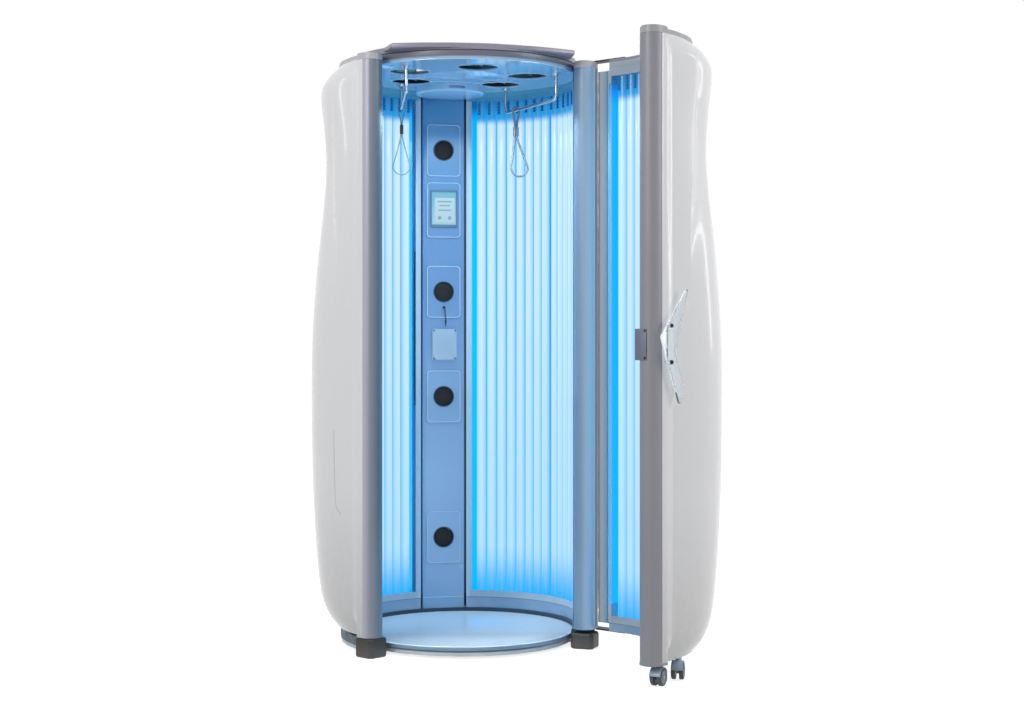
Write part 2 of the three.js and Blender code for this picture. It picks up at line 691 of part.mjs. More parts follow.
// Audio lead: moulded plug in the column socket, lead hanging straight down, free plug over the pocket.
const plugFront = padFront - FIT - PLUG_L;
const leadX = 3;
const leadY = plugFront - 9;
const leadLow = POCKET_Z + POCKET_H + 9;
const plug = new THREE.CylinderGeometry(JACK_D / 2, JACK_D / 2, PLUG_L, 8);
plug.translate(0, plugFront + PLUG_L / 2, JACK_Z);
const leadPath = new THREE.CatmullRomCurve3([
  new THREE.Vector3(0, plugFront + 3, JACK_Z),
  new THREE.Vector3(0, plugFront - 3, JACK_Z - 1),
  new THREE.Vector3(0, plugFront - 8, JACK_Z - 9),
  new THREE.Vector3(0.5, leadY, JACK_Z - 22),
  new THREE.Vector3(2, leadY, JACK_Z - 36),
  new THREE.Vector3(leadX, leadY, leadLow + 25),
]);
const lead = union(
  plug,
  swept(leadPath, LEAD_D / 2, 8, 12),
  drum(leadX, leadY, JACK_D / 2 - 1, leadLow, leadLow + 28, 8),
);
piece(root, 'audio_lead', lead, 0x1c1d20, 0.6, 0);

piece(root, 'control_box', block(-BOX_W / 2, BOX_W / 2, returnEnd + FIT, returnEnd + FIT + BOX_D, BOX_Z,
  BOX_Z + BOX_H), PAINT_GREY, 0.5, 0.4);

// Roof: ceiling panel with fan openings, fascia ring, fan tray with five motors, rotors, cover.
const fans = FAN_AT.map((angle) => at(FAN_RING, angle));
const wallFrom = FRONT_EDGE + 0.5;
const wallTo = 180 - wallFrom;
const ceilingPoints = [];
const ceilingSteps = 36;
for (let i = 0; i < ceilingSteps; i += 1) {
  const a = i * 360 / ceilingSteps;
  const overWall = (a <= wallTo && a >= 0) || a - 360 >= wallFrom;
  ceilingPoints.push(at(overWall ? SHEET_R + 1 : CABIN_R - 4, a));
}
const ceilingShape = new THREE.Shape(ceilingPoints);
function circle(x, y, radius, sides) {
  const points = [];
  for (let k = 0; k < sides; k += 1) points.push(at(radius, 360 * k / sides).add(new THREE.Vector2(x, y)));
  return points;
}
const trayShape = new THREE.Shape(circle(0, 0, FASCIA_INNER - 2, ROOF_SIDES));
const roofShape = new THREE.Shape(circle(0, 0, FASCIA_INNER - 2, ROOF_SIDES));
function openings(outline, diameter, sides) {
  for (const p of fans) outline.holes.push(new THREE.Path(circle(p.x, p.y, diameter / 2, sides)));
  return outline;
}
piece(root, 'ceiling', slab(openings(ceilingShape, FAN_D, 12), CEILING_Z, CEILING_TOP), PAINT_PALE, 0.2, 0);

// Air outlet: shallow drum under the rear of the ceiling, its slot towards the doorway.
const outletR = OUTLET_D / 2;
const outletTop = CEILING_Z - FIT;
const outletLow = outletTop - OUTLET_H;
const outletY = COLUMN_Y - OUTLET_GAP - outletR;
const outletDrum = turned([
  [0, outletLow], [outletR - OUTLET_EDGE, outletLow],
  [outletR - OUTLET_EDGE * 0.3, outletLow + OUTLET_EDGE * 0.3], [outletR, outletLow + OUTLET_EDGE],
  [outletR, outletTop], [0, outletTop],
], 24);
outletDrum.translate(0, outletY, 0);
const slotZ = outletTop - OUTLET_H / 2;
const outletSlot = block(-OUTLET_SLOT_W / 2, OUTLET_SLOT_W / 2, outletY - outletR - 5,
  outletY - outletR + OUTLET_SLOT_DEPTH, slotZ - OUTLET_SLOT_H / 2, slotZ + OUTLET_SLOT_H / 2);
piece(root, 'air_outlet', cut(outletDrum, outletSlot), PAINT_PALE, 0.2, 0);

const trayZ = FASCIA_TOP - ROOF_T - TRAY_T - ROOF_SUNK;
const ledgeZ = trayZ - FIT;
const bandR = CABIN_R - 1;
const fasciaMid = (FASCIA_BOTTOM + FASCIA_TOP) / 2;
piece(root, 'fascia', turned([
  [FASCIA_INNER - FASCIA_LEDGE, CEILING_TOP + FIT], [bandR - 5, CEILING_TOP + FIT],
  [bandR - 3, FASCIA_BOTTOM],
  [bandR, FASCIA_BOTTOM + 2], [bandR, fasciaMid - 2], [bandR - FASCIA_GROOVE, fasciaMid],
  [bandR + FASCIA_BULGE, fasciaMid + 2], [bandR + FASCIA_BULGE, FASCIA_TOP - 4],
  [bandR - 3, FASCIA_TOP], [FASCIA_INNER + FIT, FASCIA_TOP], [FASCIA_INNER + FIT, ledgeZ],
  [FASCIA_INNER - FASCIA_LEDGE, ledgeZ], [FASCIA_INNER - FASCIA_LEDGE, CEILING_TOP + FIT],
], ROOF_SIDES), PAINT_SILVER, 0.35, 0.6);

const motorBottom = trayZ - MOTOR_H;
const spiders = [];
for (const p of fans) {
  spiders.push(drum(p.x, p.y, HUB_D / 2 - 2, motorBottom, trayZ + TRAY_T, 8));
  const bar = block(-FAN_D / 2 - 3, FAN_D / 2 + 3, -ARM_W / 2, ARM_W / 2, trayZ, trayZ + TRAY_T);
  bar.rotateZ(Math.atan2(p.y, p.x));
  bar.translate(p.x, p.y, 0);
  spiders.push(bar);
}
const tray = union(slab(openings(trayShape, FAN_D, 8), trayZ, trayZ + TRAY_T), ...spiders);
piece(root, 'fan_tray', tray, PAINT_DARK, 0.6, 0.3);

const rotorTop = motorBottom - FIT;
const bladeTip = FAN_D / 2 - FAN_TIP_GAP;
const blades = [];
for (let k = 0; k < BLADES; k += 1) {
  const blade = block(HUB_D / 2 - 4, bladeTip, -BLADE_W / 2, BLADE_W / 2, -BLADE_T / 2, BLADE_T / 2);
  blade.rotateX(rad(BLADE_PITCH));
  blade.rotateZ(rad(k * 360 / BLADES));
  blade.translate(0, 0, rotorTop - ROTOR_H / 2 - 1);
  blades.push(blade);
}
const rotor = union(drum(0, 0, HUB_D / 2, rotorTop - ROTOR_H, rotorTop, 8), ...blades);
fans.forEach((p, i) => {
  const fan = piece(root, `fan_rotor_${i + 1}`, rotor, 0x3a4a5c, 0.5, 0);
  fan.position.set(p.x, p.y, 0);
});

const roofZ = trayZ + TRAY_T + FIT;
const roofSlab = slab(openings(roofShape, FAN_D - 12, 8), roofZ, roofZ + ROOF_T);
piece(root, 'roof_cover', roofSlab, PAINT_GREY, 0.5, 0.3);

// Outer shell surface. Angle from the nearest post; the flank rises to a ridge, and under the waist
// the lower bulge springs from a soft valley behind that ridge.
function stationRadius(z) {
  let i = 0;
  while (i < SHELL_STATIONS.length - 2 && z > SHELL_STATIONS[i + 1][0]) i += 1;
  const before = SHELL_STATIONS[Math.max(0, i - 1)];
  const here = SHELL_STATIONS[i];
  const next = SHELL_STATIONS[i + 1];
  const after = SHELL_STATIONS[Math.min(SHELL_STATIONS.length - 1, i + 2)];
  const u = (z - here[0]) / (next[0] - here[0]);
  const slopeA = (next[1] - before[1]) / (next[0] - before[0]) * (next[0] - here[0]);
  const slopeB = (after[1] - here[1]) / (after[0] - here[0]) * (next[0] - here[0]);
  const u2 = u * u;
  const u3 = u2 * u;
  return here[1] * (2 * u3 - 3 * u2 + 1) + slopeA * (u3 - 2 * u2 + u)
    + next[1] * (3 * u2 - 2 * u3) + slopeB * (u3 - u2);
}
const WAIST_Z = SHELL_TOP - WAIST_DROP;
function ridgeAngle(z) {
  return RIDGE_LOW + (RIDGE_HIGH - RIDGE_LOW) * smooth(z, WAIST_Z - RIDGE_TURN, WAIST_Z);
}
function edgeRadius(z) {
  const foot = SHELL_EDGE_FOOT * (1 - smooth(z, SHELL_BOTTOM, SHELL_BOTTOM + 90));
  const head = SHELL_EDGE_HEAD * smooth(z, SHELL_TOP - 70, SHELL_TOP);
  return SHELL_EDGE_R - foot - head;
}
function shellRadius(a, z, bulge) {
  const reach = smooth(a, 1, SHELL_REACH);
  const full = stationRadius(z) + bulge;
  const sunk = smooth(z, WAIST_Z - VALLEY_TAIL, WAIST_Z - VALLEY_FULL);
  const risen = smooth(z, WAIST_Z - VALLEY_END, WAIST_Z + VALLEY_RISE);
  const depth = RIDGE_STEP * sunk * (1 - risen);
  const past = a - ridgeAngle(z);
  const valley = past <= 0 ? 0 : smooth(past, 0, 2.4) * (1 - smooth(past, 3, 17));
  return edgeRadius(z) + (full - edgeRadius(z)) * reach - depth * valley;
}
const SHELL_ROWS = SHELL_STATIONS.map(([z]) => z);
const FLANK_COLS = 6;
const SIDE_COLS = 6;
const BACK_COLS = 6;
const DOOR_MID_COLS = 2;
function rowHeights() {
  const rows = [];
  for (let i = 0; i < SHELL_ROWS.length - 1; i += 1) {
    const gap = SHELL_ROWS[i + 1] - SHELL_ROWS[i];
    const parts = gap > 260 ? 2 : 1;
    for (let k = 0; k < parts; k += 1) rows.push(SHELL_ROWS[i] + gap * k / parts);
  }
  rows.push(SHELL_TOP);
  return rows;
}

// Loft of a shell: columns of points, each column an outer and an inner skin, closed at all edges.
function loft(columns, rows, outerAt) {
  const positions = [];
  const index = [];
  const nc = columns;
  const nr = rows.length;
  for (let skin = 0; skin < 2; skin += 1) {
    for (let c = 0; c < nc; c += 1) {
      for (let r = 0; r < nr; r += 1) {
        const p = outerAt(c, rows[r], skin === 1 ? SHELL_T : 0);
        positions.push(p.x, p.y, rows[r]);
      }
    }
  }
  const id = (skin, c, r) => skin * nc * nr + c * nr + r;
  const quad = (a, b, c, d) => index.push(a, b, c, a, c, d);
  for (let c = 0; c < nc - 1; c += 1) {
    for (let r = 0; r < nr - 1; r += 1) {
      quad(id(0, c, r), id(0, c + 1, r), id(0, c + 1, r + 1), id(0, c, r + 1));
      quad(id(1, c, r), id(1, c, r + 1), id(1, c + 1, r + 1), id(1, c + 1, r));
    }
    quad(id(0, c, 0), id(1, c, 0), id(1, c + 1, 0), id(0, c + 1, 0));
    quad(id(0, c, nr - 1), id(0, c + 1, nr - 1), id(1, c + 1, nr - 1), id(1, c, nr - 1));
  }
  for (let r = 0; r < nr - 1; r += 1) {
    quad(id(0, 0, r), id(0, 0, r + 1), id(1, 0, r + 1), id(1, 0, r));
    quad(id(0, nc - 1, r), id(1, nc - 1, r), id(1, nc - 1, r + 1), id(0, nc - 1, r + 1));
  }
  const g = new THREE.BufferGeometry();
  g.setAttribute('position', new THREE.Float32BufferAttribute(positions, 3));
  g.setIndex(index);
  return g;
}

// Angles from the post for the columns that follow the ridge.
function flankAngles(z, radius) {
  const edge = deg(Math.asin(TAIL_END / radius));
  const ridge = ridgeAngle(z);
  return [edge, edge + (ridge - edge) * 0.5, ridge, ridge + 2.4, ridge + 8, ridge + 17];
}
const rows = rowHeights();
const seamHalf = BACK_HALF;
function sideShellPoint(c, z, inset) {
  const list = flankAngles(z, edgeRadius(z) - inset);
  const total = 90 + POST_AT - seamHalf - 0.03;
  const last = list[list.length - 1];
  for (let k = 1; k <= SIDE_COLS; k += 1) list.push(last + (total - last) * k / SIDE_COLS);
  const a = list[c];
  return at(shellRadius(a, z, 0) - inset, -POST_AT + a);
}
const sideColumns = FLANK_COLS + SIDE_COLS;
const rightShell = loft(sideColumns, rows, sideShellPoint);
piece(root, 'shell_right', rightShell, PAINT_WHITE, 0.2, 0);
piece(root, 'shell_left', mirrored(rightShell), PAINT_WHITE, 0.2, 0);

function backPoint(c, z, inset) {
  const a = 90 - seamHalf + 2 * seamHalf * c / (BACK_COLS - 1);
  return at(stationRadius(z) - inset, a);
}
const backSkin = loft(BACK_COLS, rows, backPoint);
const vents = [];
for (const z0 of [SHELL_BOTTOM + VENT_LOW, SHELL_TOP - VENT_HIGH]) {
  for (let k = 0; k < VENT_COUNT; k += 1) {
    const z = z0 + k * VENT_PITCH;
    vents.push(block(-VENT_W / 2, VENT_W / 2, CABIN_R + 60, CABIN_R + 200, z, z + VENT_H));
  }
}
piece(root, 'back_panel', cut(backSkin, ...vents), PAINT_WHITE, 0.3, 0);

// Wall cap: one trim moulding over both posts and along the top of the wall between them.
const capLap = 6;
const headFrom = -POST_AT + deg(Math.asin((POST_TAIL - capLap) / CABIN_R));
const headOutline = [at(edgeRadius(SHELL_TOP) - 1, headFrom)];
for (let c = 0; c < sideColumns; c += 1) headOutline.push(sideShellPoint(c, SHELL_TOP, 1));
for (let c = 1; c < BACK_COLS - 1; c += 1) headOutline.push(backPoint(c, SHELL_TOP, 1));
for (let c = sideColumns - 1; c >= 0; c -= 1) {
  const p = sideShellPoint(c, SHELL_TOP, 1);
  headOutline.push(new THREE.Vector2(-p.x, p.y));
}
headOutline.push(at(edgeRadius(SHELL_TOP) - 1, 180 - headFrom));
const headSteps = 24;
for (let i = headSteps; i >= 0; i -= 1) {
  headOutline.push(at(RAIL_IN, headFrom + (180 - 2 * headFrom) * i / headSteps));
}
const wallTrim = slab(new THREE.Shape(headOutline), HEAD_BOTTOM, POST_TOP);
const wallCap = union(wallTrim, postCap(1, 180 + POST_AT), postCap(-1, -POST_AT));
piece(root, 'wall_cap', wallCap, PAINT_GREY, 0.4, 0.4);

// Grab bars and hand straps.
function barPath(bar) {
  const front = new THREE.Vector3(bar.front[0], bar.front[1], BAR_Z);
  const rear = new THREE.Vector3(bar.rear[0], bar.rear[1], BAR_Z);
  const along = rear.clone().sub(front).normalize();
  const up = new THREE.Vector3(0, 0, 1);
  const path = new THREE.CurvePath();
  const top = CEILING_Z - FIT - BAR_Z;
  const f0 = front.clone().addScaledVector(up, top);
  const f1 = front.clone().addScaledVector(up, BAR_BEND);
  const f2 = front.clone().addScaledVector(along, BAR_BEND);
  const r2 = rear.clone().addScaledVector(along, -BAR_BEND);
  const r1 = rear.clone().addScaledVector(up, BAR_BEND);
  const r0 = rear.clone().addScaledVector(up, top);
  path.add(new THREE.LineCurve3(f0, f1));
  path.add(new THREE.QuadraticBezierCurve3(f1, front, f2));
  path.add(new THREE.LineCurve3(f2, r2));
  path.add(new THREE.QuadraticBezierCurve3(r2, rear, r1));
  path.add(new THREE.LineCurve3(r1, r0));
  return { path, front, rear, along };
}
function barPoints(path) {
  const points = [];
  path.curves.forEach((curve, i) => {
    const n = curve.isLineCurve3 ? 1 : 4;
    for (let k = i === 0 ? 0 : 1; k <= n; k += 1) points.push(curve.getPoint(k / n));
  });
  return points;
}
// Open tube with flat ends through given points, its section kept square to the path.
function rod(points, radius, sides, normal) {
  const positions = [];
  const index = [];
  const n = points.length;
  for (let i = 0; i < n; i += 1) {
    const ahead = points[Math.min(n - 1, i + 1)].clone().sub(points[Math.max(0, i - 1)]).normalize();
    const across = new THREE.Vector3().crossVectors(ahead, normal).normalize();
    for (let k = 0; k < sides; k += 1) {
      const a = 2 * Math.PI * k / sides;
      const p = points[i].clone();
      p.addScaledVector(across, radius * Math.cos(a));
      p.addScaledVector(normal, radius * Math.sin(a));
      positions.push(p.x, p.y, p.z);
    }
  }
  for (let i = 0; i < n - 1; i += 1) {
    for (let k = 0; k < sides; k += 1) {
      const a = i * sides + k;
      const b = i * sides + (k + 1) % sides;
      index.push(a, b, a + sides, b, b + sides, a + sides);
    }
  }
  for (let k = 1; k < sides - 1; k += 1) {
    index.push(0, k + 1, k);
    index.push((n - 1) * sides, (n - 1) * sides + k, (n - 1) * sides + k + 1);
  }
  const g = new THREE.BufferGeometry();
  g.setAttribute('position', new THREE.Float32BufferAttribute(positions, 3));
  g.setIndex(index);
  return g;
}
for (const [name, bar] of Object.entries(BARS)) {
  const { path, front, rear, along } = barPath(bar);
  const across = new THREE.Vector3().crossVectors(along, new THREE.Vector3(0, 0, 1)).normalize();
  piece(root, `grab_bar_${name}`, rod(barPoints(path), BAR_D / 2, 8, across), CHROME, 0.25, 0.9);
  const hang = front.clone().lerp(rear, bar.strapAt);
  const wire = bar.wire / 2;
  const twin = wire + STRAP_APART / 2;
  const archZ = BAR_Z + BAR_D / 2 + wire * Math.cos(Math.PI / STRAP_SIDES) + FIT - STRAP_ARCH;
  const loop = [];
  const push = (u, z) => loop.push(hang.clone().addScaledVector(across, u).setZ(z));
  for (let k = 0; k <= 8; k += 1) {
    push(STRAP_ARCH * Math.cos(Math.PI * k / 8), archZ + STRAP_ARCH * Math.sin(Math.PI * k / 8));
  }
  push(-twin, CRIMP_TOP + 14);
  push(-twin, CRIMP_BOTTOM - 8);
  const belly = bar.loop / 2;
  const bellyZ = STRAP_LOW + belly;
  push(bar.lean * 0.6 - belly * 0.62, bellyZ + belly * 1.3);
  for (let k = 0; k <= 8; k += 1) {
    push(bar.lean - belly * Math.cos(Math.PI * k / 8), bellyZ - belly * Math.sin(Math.PI * k / 8));
  }
  push(bar.lean * 0.6 + belly * 0.62, bellyZ + belly * 1.3);
  push(twin, CRIMP_BOTTOM - 8);
  push(twin, CRIMP_TOP + 14);
  piece(root, `strap_${name}`, closedTube(loop, wire, STRAP_SIDES, along), 0x8a97a3, 0.4, 0.5);
  const hw = twin + wire + FIT;
  const hd = wire + FIT;
  const sleeve = roundedRect(2 * (hw + CRIMP_WALL), 2 * (hd + CRIMP_WALL), hd);
  sleeve.holes.push(new THREE.Path([
    new THREE.Vector2(-hw, -hd), new THREE.Vector2(-hw, hd),
    new THREE.Vector2(hw, hd), new THREE.Vector2(hw, -hd),
  ]));
  const crimp = new THREE.ExtrudeGeometry(sleeve, {
    depth: CRIMP_TOP - CRIMP_BOTTOM, bevelEnabled: false, curveSegments: 1,
  });
  crimp.rotateZ(Math.atan2(across.y, across.x));
  crimp.translate(hang.x, hang.y, CRIMP_BOTTOM);
  piece(root, `strap_crimp_${name}`, crimp, name === 'right' ? 0x9aa0a6 : 0x1b1c1e, 0.4, 0.5);
}

// Hinge: pins on the base and on the wall head, plates on the door that turn on them.
function pin(bottom, top, collarFrom, collarTo) {
  return union(
    drum(hinge.x, hinge.y, PIN_D / 2, bottom, top, 12),
    drum(hinge.x, hinge.y, PIN_HEAD / 2, collarFrom, collarTo, 12),
  );
}
const topHead = ARM_TOP_Z + HINGE_ARM_T + FIT;
const topPin = pin(POST_TOP + FIT, topHead + PIN_HEAD_H, topHead, topHead + PIN_HEAD_H);
const lowPin = pin(BASE_TOP + FIT, DOOR_BASE_Z - 2 * FIT, BASE_TOP + FIT, LOW_ARM_Z - FIT);
piece(root, 'hinge_pin_top', topPin, CHROME, 0.3, 0.9);
piece(root, 'hinge_pin_bottom', lowPin, CHROME, 0.3, 0.9);

// Door, drawn closed and swung open by its group.
function hingeArm(z0) {
  const target = at((RAIL_IN + SHELL_EDGE_R) / 2 - 6, DOOR_END - 7);
  const dx = target.x - hinge.x;
  const dy = target.y - hinge.y;
  const length = Math.hypot(dx, dy);
  const outline = new THREE.Shape();
  const w = HINGE_ARM_W / 2;
  outline.moveTo(0, -w);
  outline.lineTo(length, -w);
  outline.lineTo(length, w);
  outline.lineTo(0, w);
  outline.absarc(0, 0, w, Math.PI / 2, Math.PI * 1.5);
  const hole = new THREE.Path();
  hole.absarc(0, 0, PIN_D / 2 + PIN_PLAY, 0, Math.PI * 2, true);
  outline.holes.push(hole);
  const plain = { depth: HINGE_ARM_T, bevelEnabled: false, curveSegments: 6 };
  const g = new THREE.ExtrudeGeometry(outline, plain);
  g.rotateZ(Math.atan2(dy, dx));
  g.translate(hinge.x, hinge.y, z0);
  return g;
}
piece(doorFrame, 'hinge_plate_top', hingeArm(ARM_TOP_Z), PAINT_DARK, 0.5, 0.6);
piece(doorFrame, 'hinge_plate_bottom', hingeArm(LOW_ARM_Z), PAINT_DARK, 0.5, 0.6);

piece(doorFrame, 'door_post', postBody(-1, DOOR_POST_AT), PAINT_GREY, 0.4, 0.6);

const doorSpan = DOOR_END - DOOR_POST_AT;
const endOverrun = deg(Math.asin(TAIL_END / SHELL_EDGE_R));
const doorColumns = 2 * FLANK_COLS + DOOR_MID_COLS;
function doorShellPoint(c, z, inset) {
  const list = flankAngles(z, edgeRadius(z) - inset);
  const back = [...list].reverse();
  const angles = [...list];
  const left = list[FLANK_COLS - 1];
  const right = doorSpan + endOverrun - left;
  for (let k = 1; k <= DOOR_MID_COLS; k += 1) angles.push(left + (right - left) * k / (DOOR_MID_COLS + 1));
  for (const a of back) angles.push(doorSpan + endOverrun - a);
  angles[doorColumns - 1] = doorSpan;
  const a = angles[c];
  const near = Math.min(a, doorSpan + endOverrun - a);
  return at(shellRadius(near, z, DOOR_BULGE) - inset, DOOR_POST_AT + a);
}
const doorTailAt = (r) => DOOR_POST_AT + deg(Math.asin(TAIL_END / r));
// Plan outline over the door's thickness: the shell outside, the lampholder rail line inside.
function doorPlan(z, inset, from, lead) {
  const outline = lead ? [at(edgeRadius(z) - inset, from)] : [];
  for (let c = 0; c < doorColumns; c += 1) outline.push(doorShellPoint(c, z, inset));
  const n = 18;
  for (let i = n; i >= 0; i -= 1) outline.push(at(RAIL_IN, from + (DOOR_END - from) * i / n));
  return new THREE.Shape(outline);
}
const doorTrimFrom = DOOR_POST_AT + deg(Math.asin((POST_TAIL - capLap) / CABIN_R));
const doorTrim = slab(doorPlan(SHELL_TOP, 1, doorTrimFrom, true), HEAD_BOTTOM, POST_TOP);
piece(doorFrame, 'door_cap', union(doorTrim, postCap(-1, DOOR_POST_AT)), PAINT_GREY, 0.4, 0.4);

const doorLamps = [];
for (let i = 0; i < 2 * LAMPS_PER_GROUP; i += 1) {
  const a = DOOR_POST_AT + DOOR_STILE + i * LAMP_PITCH;
  if (a < DOOR_END - 2 * DOOR_WINDOW_MARGIN) doorLamps.push(a);
}
const doorLast = doorLamps[doorLamps.length - 1];
const doorFrom = doorTailAt(CABIN_R);
const doorSheet = cut(
  arcSlab(CABIN_R, SHEET_R, doorFrom, DOOR_END, DOOR_BASE_Z, CEILING_Z - FIT),
  arcSlab(CABIN_R - 20, SHEET_R + 20, doorLamps[0] - DOOR_WINDOW_MARGIN, DOOR_END - DOOR_END_STILE,
    SKIRT_TOP, VALANCE_BOTTOM),
);
const endPlate = arcSlab(CABIN_R, SHELL_EDGE_R - SHELL_T - 24, DOOR_END - 0.3, DOOR_END,
  DOOR_BASE_Z + DOOR_BASE_T + FIT, LAMP_TOP);
piece(doorFrame, 'door_surround', union(doorSheet, endPlate), PAINT_SILVER, 0.45, 0.3);
const doorRailFrom = doorLamps[0] - RAIL_MARGIN;
const doorRailTo = doorLast + RAIL_MARGIN;
const doorBank = lampBank(doorLamps, DOOR_BASE_Z + DOOR_BASE_T + FIT, doorRailFrom, doorRailTo);
piece(doorFrame, 'door_lamp_bank', doorBank, GLOW, 0.3, 0);
piece(doorFrame, 'door_reflector', reflector(doorRailFrom, DOOR_END - 0.7), MIRROR, 0.2, 0.8);
const basePlate = slab(doorPlan(SHELL_BOTTOM, SHELL_T + FIT, doorTailAt(RAIL_IN), false),
  DOOR_BASE_Z, DOOR_BASE_Z + DOOR_BASE_T);
piece(doorFrame, 'door_base', basePlate, PAINT_DARK, 0.6, 0.4);

piece(doorFrame, 'door_shell', loft(doorColumns, rows, doorShellPoint), PAINT_WHITE, 0.2, 0);

// Handle: clear chevron plate on two standoffs at the edge of the door post.
const chevron = new THREE.Shape(HANDLE_OUTLINE.map(([t, z]) => new THREE.Vector2(t, z)));
const handlePlate = new THREE.ExtrudeGeometry(chevron, { depth: HANDLE_T, bevelEnabled: false });
const handleParts = [handlePlate];
for (const sign of [-1, 1]) {
  const postR = HANDLE_POST_D / 2;
  const standoff = new THREE.CylinderGeometry(postR, postR, HANDLE_OFF - FIT + 1, 10);
  standoff.rotateX(Math.PI / 2);
  standoff.translate(0, sign * HANDLE_SCREWS / 2, -(HANDLE_OFF - FIT + 1) / 2 + 1);
  handleParts.push(standoff);
}
const handle = union(...handleParts);
handle.applyMatrix4(new THREE.Matrix4().makeBasis(
  new THREE.Vector3(0, 1, 0), new THREE.Vector3(0, 0, 1), new THREE.Vector3(1, 0, 0),
));
handle.translate(POST_W / 2 + HANDLE_OFF, HANDLE_T_AT, HANDLE_Z);
piece(doorFrame, 'door_handle', placed(handle, DOOR_POST_AT), 0xdfe6ec, 0.05, 0);

const catchFrom = doorFrom + 0.1;
const catchTo = catchFrom + deg(CATCH_W / CABIN_R);
const catchR = CABIN_R * Math.cos(rad(ARC_STEP / 2)) - FIT;
piece(doorFrame, 'catch_plate', arcSlab(catchR - CATCH_T, catchR, catchFrom, catchTo,
  CATCH_Z - CATCH_H / 2, CATCH_Z + CATCH_H / 2), 0x3a3d42, 0.4, 0.7);

// Castors: fork with a central web, two wheels on one axle through the web.
CASTORS.forEach(([out, along], i) => {
  const angle = DOOR_POST_AT + along;
  const wheelR = WHEEL_D / 2;
  const web = WHEEL_GAP / 2 - 1.2;
  const top = DOOR_BASE_Z - FIT;
  const forkOutline = new THREE.Shape([
    new THREE.Vector2(-STEM_D / 2, top - 8), new THREE.Vector2(-STEM_D / 2, WHEEL_D + 1),
    new THREE.Vector2(-TRAIL - 9, wheelR + 4), new THREE.Vector2(-TRAIL - 7, wheelR - 9),
    new THREE.Vector2(-TRAIL + 7, wheelR - 9), new THREE.Vector2(STEM_D / 2, WHEEL_D - 2),
    new THREE.Vector2(STEM_D / 2, top - 8),
  ]);
  const bore = new THREE.Path();
  bore.absarc(-TRAIL, wheelR, AXLE_D / 2 + FIT + 0.2, 0, Math.PI * 2, true);
  forkOutline.holes.push(bore);
  const webSize = { depth: 2 * web, bevelEnabled: false, curveSegments: 5 };
  const webPlate = new THREE.ExtrudeGeometry(forkOutline, webSize);
  webPlate.rotateX(Math.PI / 2);
  webPlate.translate(0, web, 0);
  const fork = union(webPlate, drum(0, 0, STEM_D / 2, WHEEL_D + 2, top, 12));
  const wheel = new THREE.LatheGeometry([
    [0, -WHEEL_GAP / 2 - WHEEL_W], [wheelR - 6, -WHEEL_GAP / 2 - WHEEL_W],
    [wheelR, -WHEEL_GAP / 2 - WHEEL_W + WHEEL_EDGE],
    [wheelR, -WHEEL_GAP / 2], [AXLE_D / 2, -WHEEL_GAP / 2],
    [AXLE_D / 2, WHEEL_GAP / 2], [wheelR, WHEEL_GAP / 2],
    [wheelR, WHEEL_GAP / 2 + WHEEL_W - WHEEL_EDGE], [wheelR - 6, WHEEL_GAP / 2 + WHEEL_W],
    [0, WHEEL_GAP / 2 + WHEEL_W],
  ].map(([x, y]) => new THREE.Vector2(x, y)), 10);
  wheel.translate(-TRAIL, 0, wheelR);
  const place = new THREE.Group();
  const p = at(CABIN_R + out, angle);
  place.position.set(p.x, p.y, 0);
  place.rotation.z = rad(angle + 100);
  doorFrame.add(place);
  piece(place, `castor_fork_${i + 1}`, fork, 0xc8ccd0, 0.4, 0.2);
  piece(place, `castor_wheels_${i + 1}`, wheel, 0x3b4046, 0.6, 0);
});

export default root;
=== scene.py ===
import json
import math

import bmesh
import bpy
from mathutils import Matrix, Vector


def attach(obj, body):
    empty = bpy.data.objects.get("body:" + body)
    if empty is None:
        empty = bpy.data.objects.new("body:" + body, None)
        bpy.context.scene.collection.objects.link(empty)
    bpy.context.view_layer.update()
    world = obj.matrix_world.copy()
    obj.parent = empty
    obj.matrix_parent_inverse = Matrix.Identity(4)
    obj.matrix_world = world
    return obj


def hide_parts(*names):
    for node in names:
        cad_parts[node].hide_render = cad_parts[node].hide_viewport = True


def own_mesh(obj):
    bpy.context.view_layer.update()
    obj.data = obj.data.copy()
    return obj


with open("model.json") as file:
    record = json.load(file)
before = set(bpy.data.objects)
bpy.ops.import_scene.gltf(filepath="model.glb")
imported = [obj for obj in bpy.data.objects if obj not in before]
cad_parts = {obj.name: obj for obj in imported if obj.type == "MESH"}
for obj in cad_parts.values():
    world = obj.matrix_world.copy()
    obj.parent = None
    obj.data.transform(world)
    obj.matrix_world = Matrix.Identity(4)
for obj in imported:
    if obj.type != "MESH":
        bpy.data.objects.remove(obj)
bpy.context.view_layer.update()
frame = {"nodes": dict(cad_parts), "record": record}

MM = 0.001
BODY_OF = {n: b for b, ns in frame["record"]["behaviour"]["bodies"].items() for n in ns}
SLOT_OF = {s["node"]: s["material_slot"] for s in frame["record"]["subparts"]}
scene = bpy.context.scene

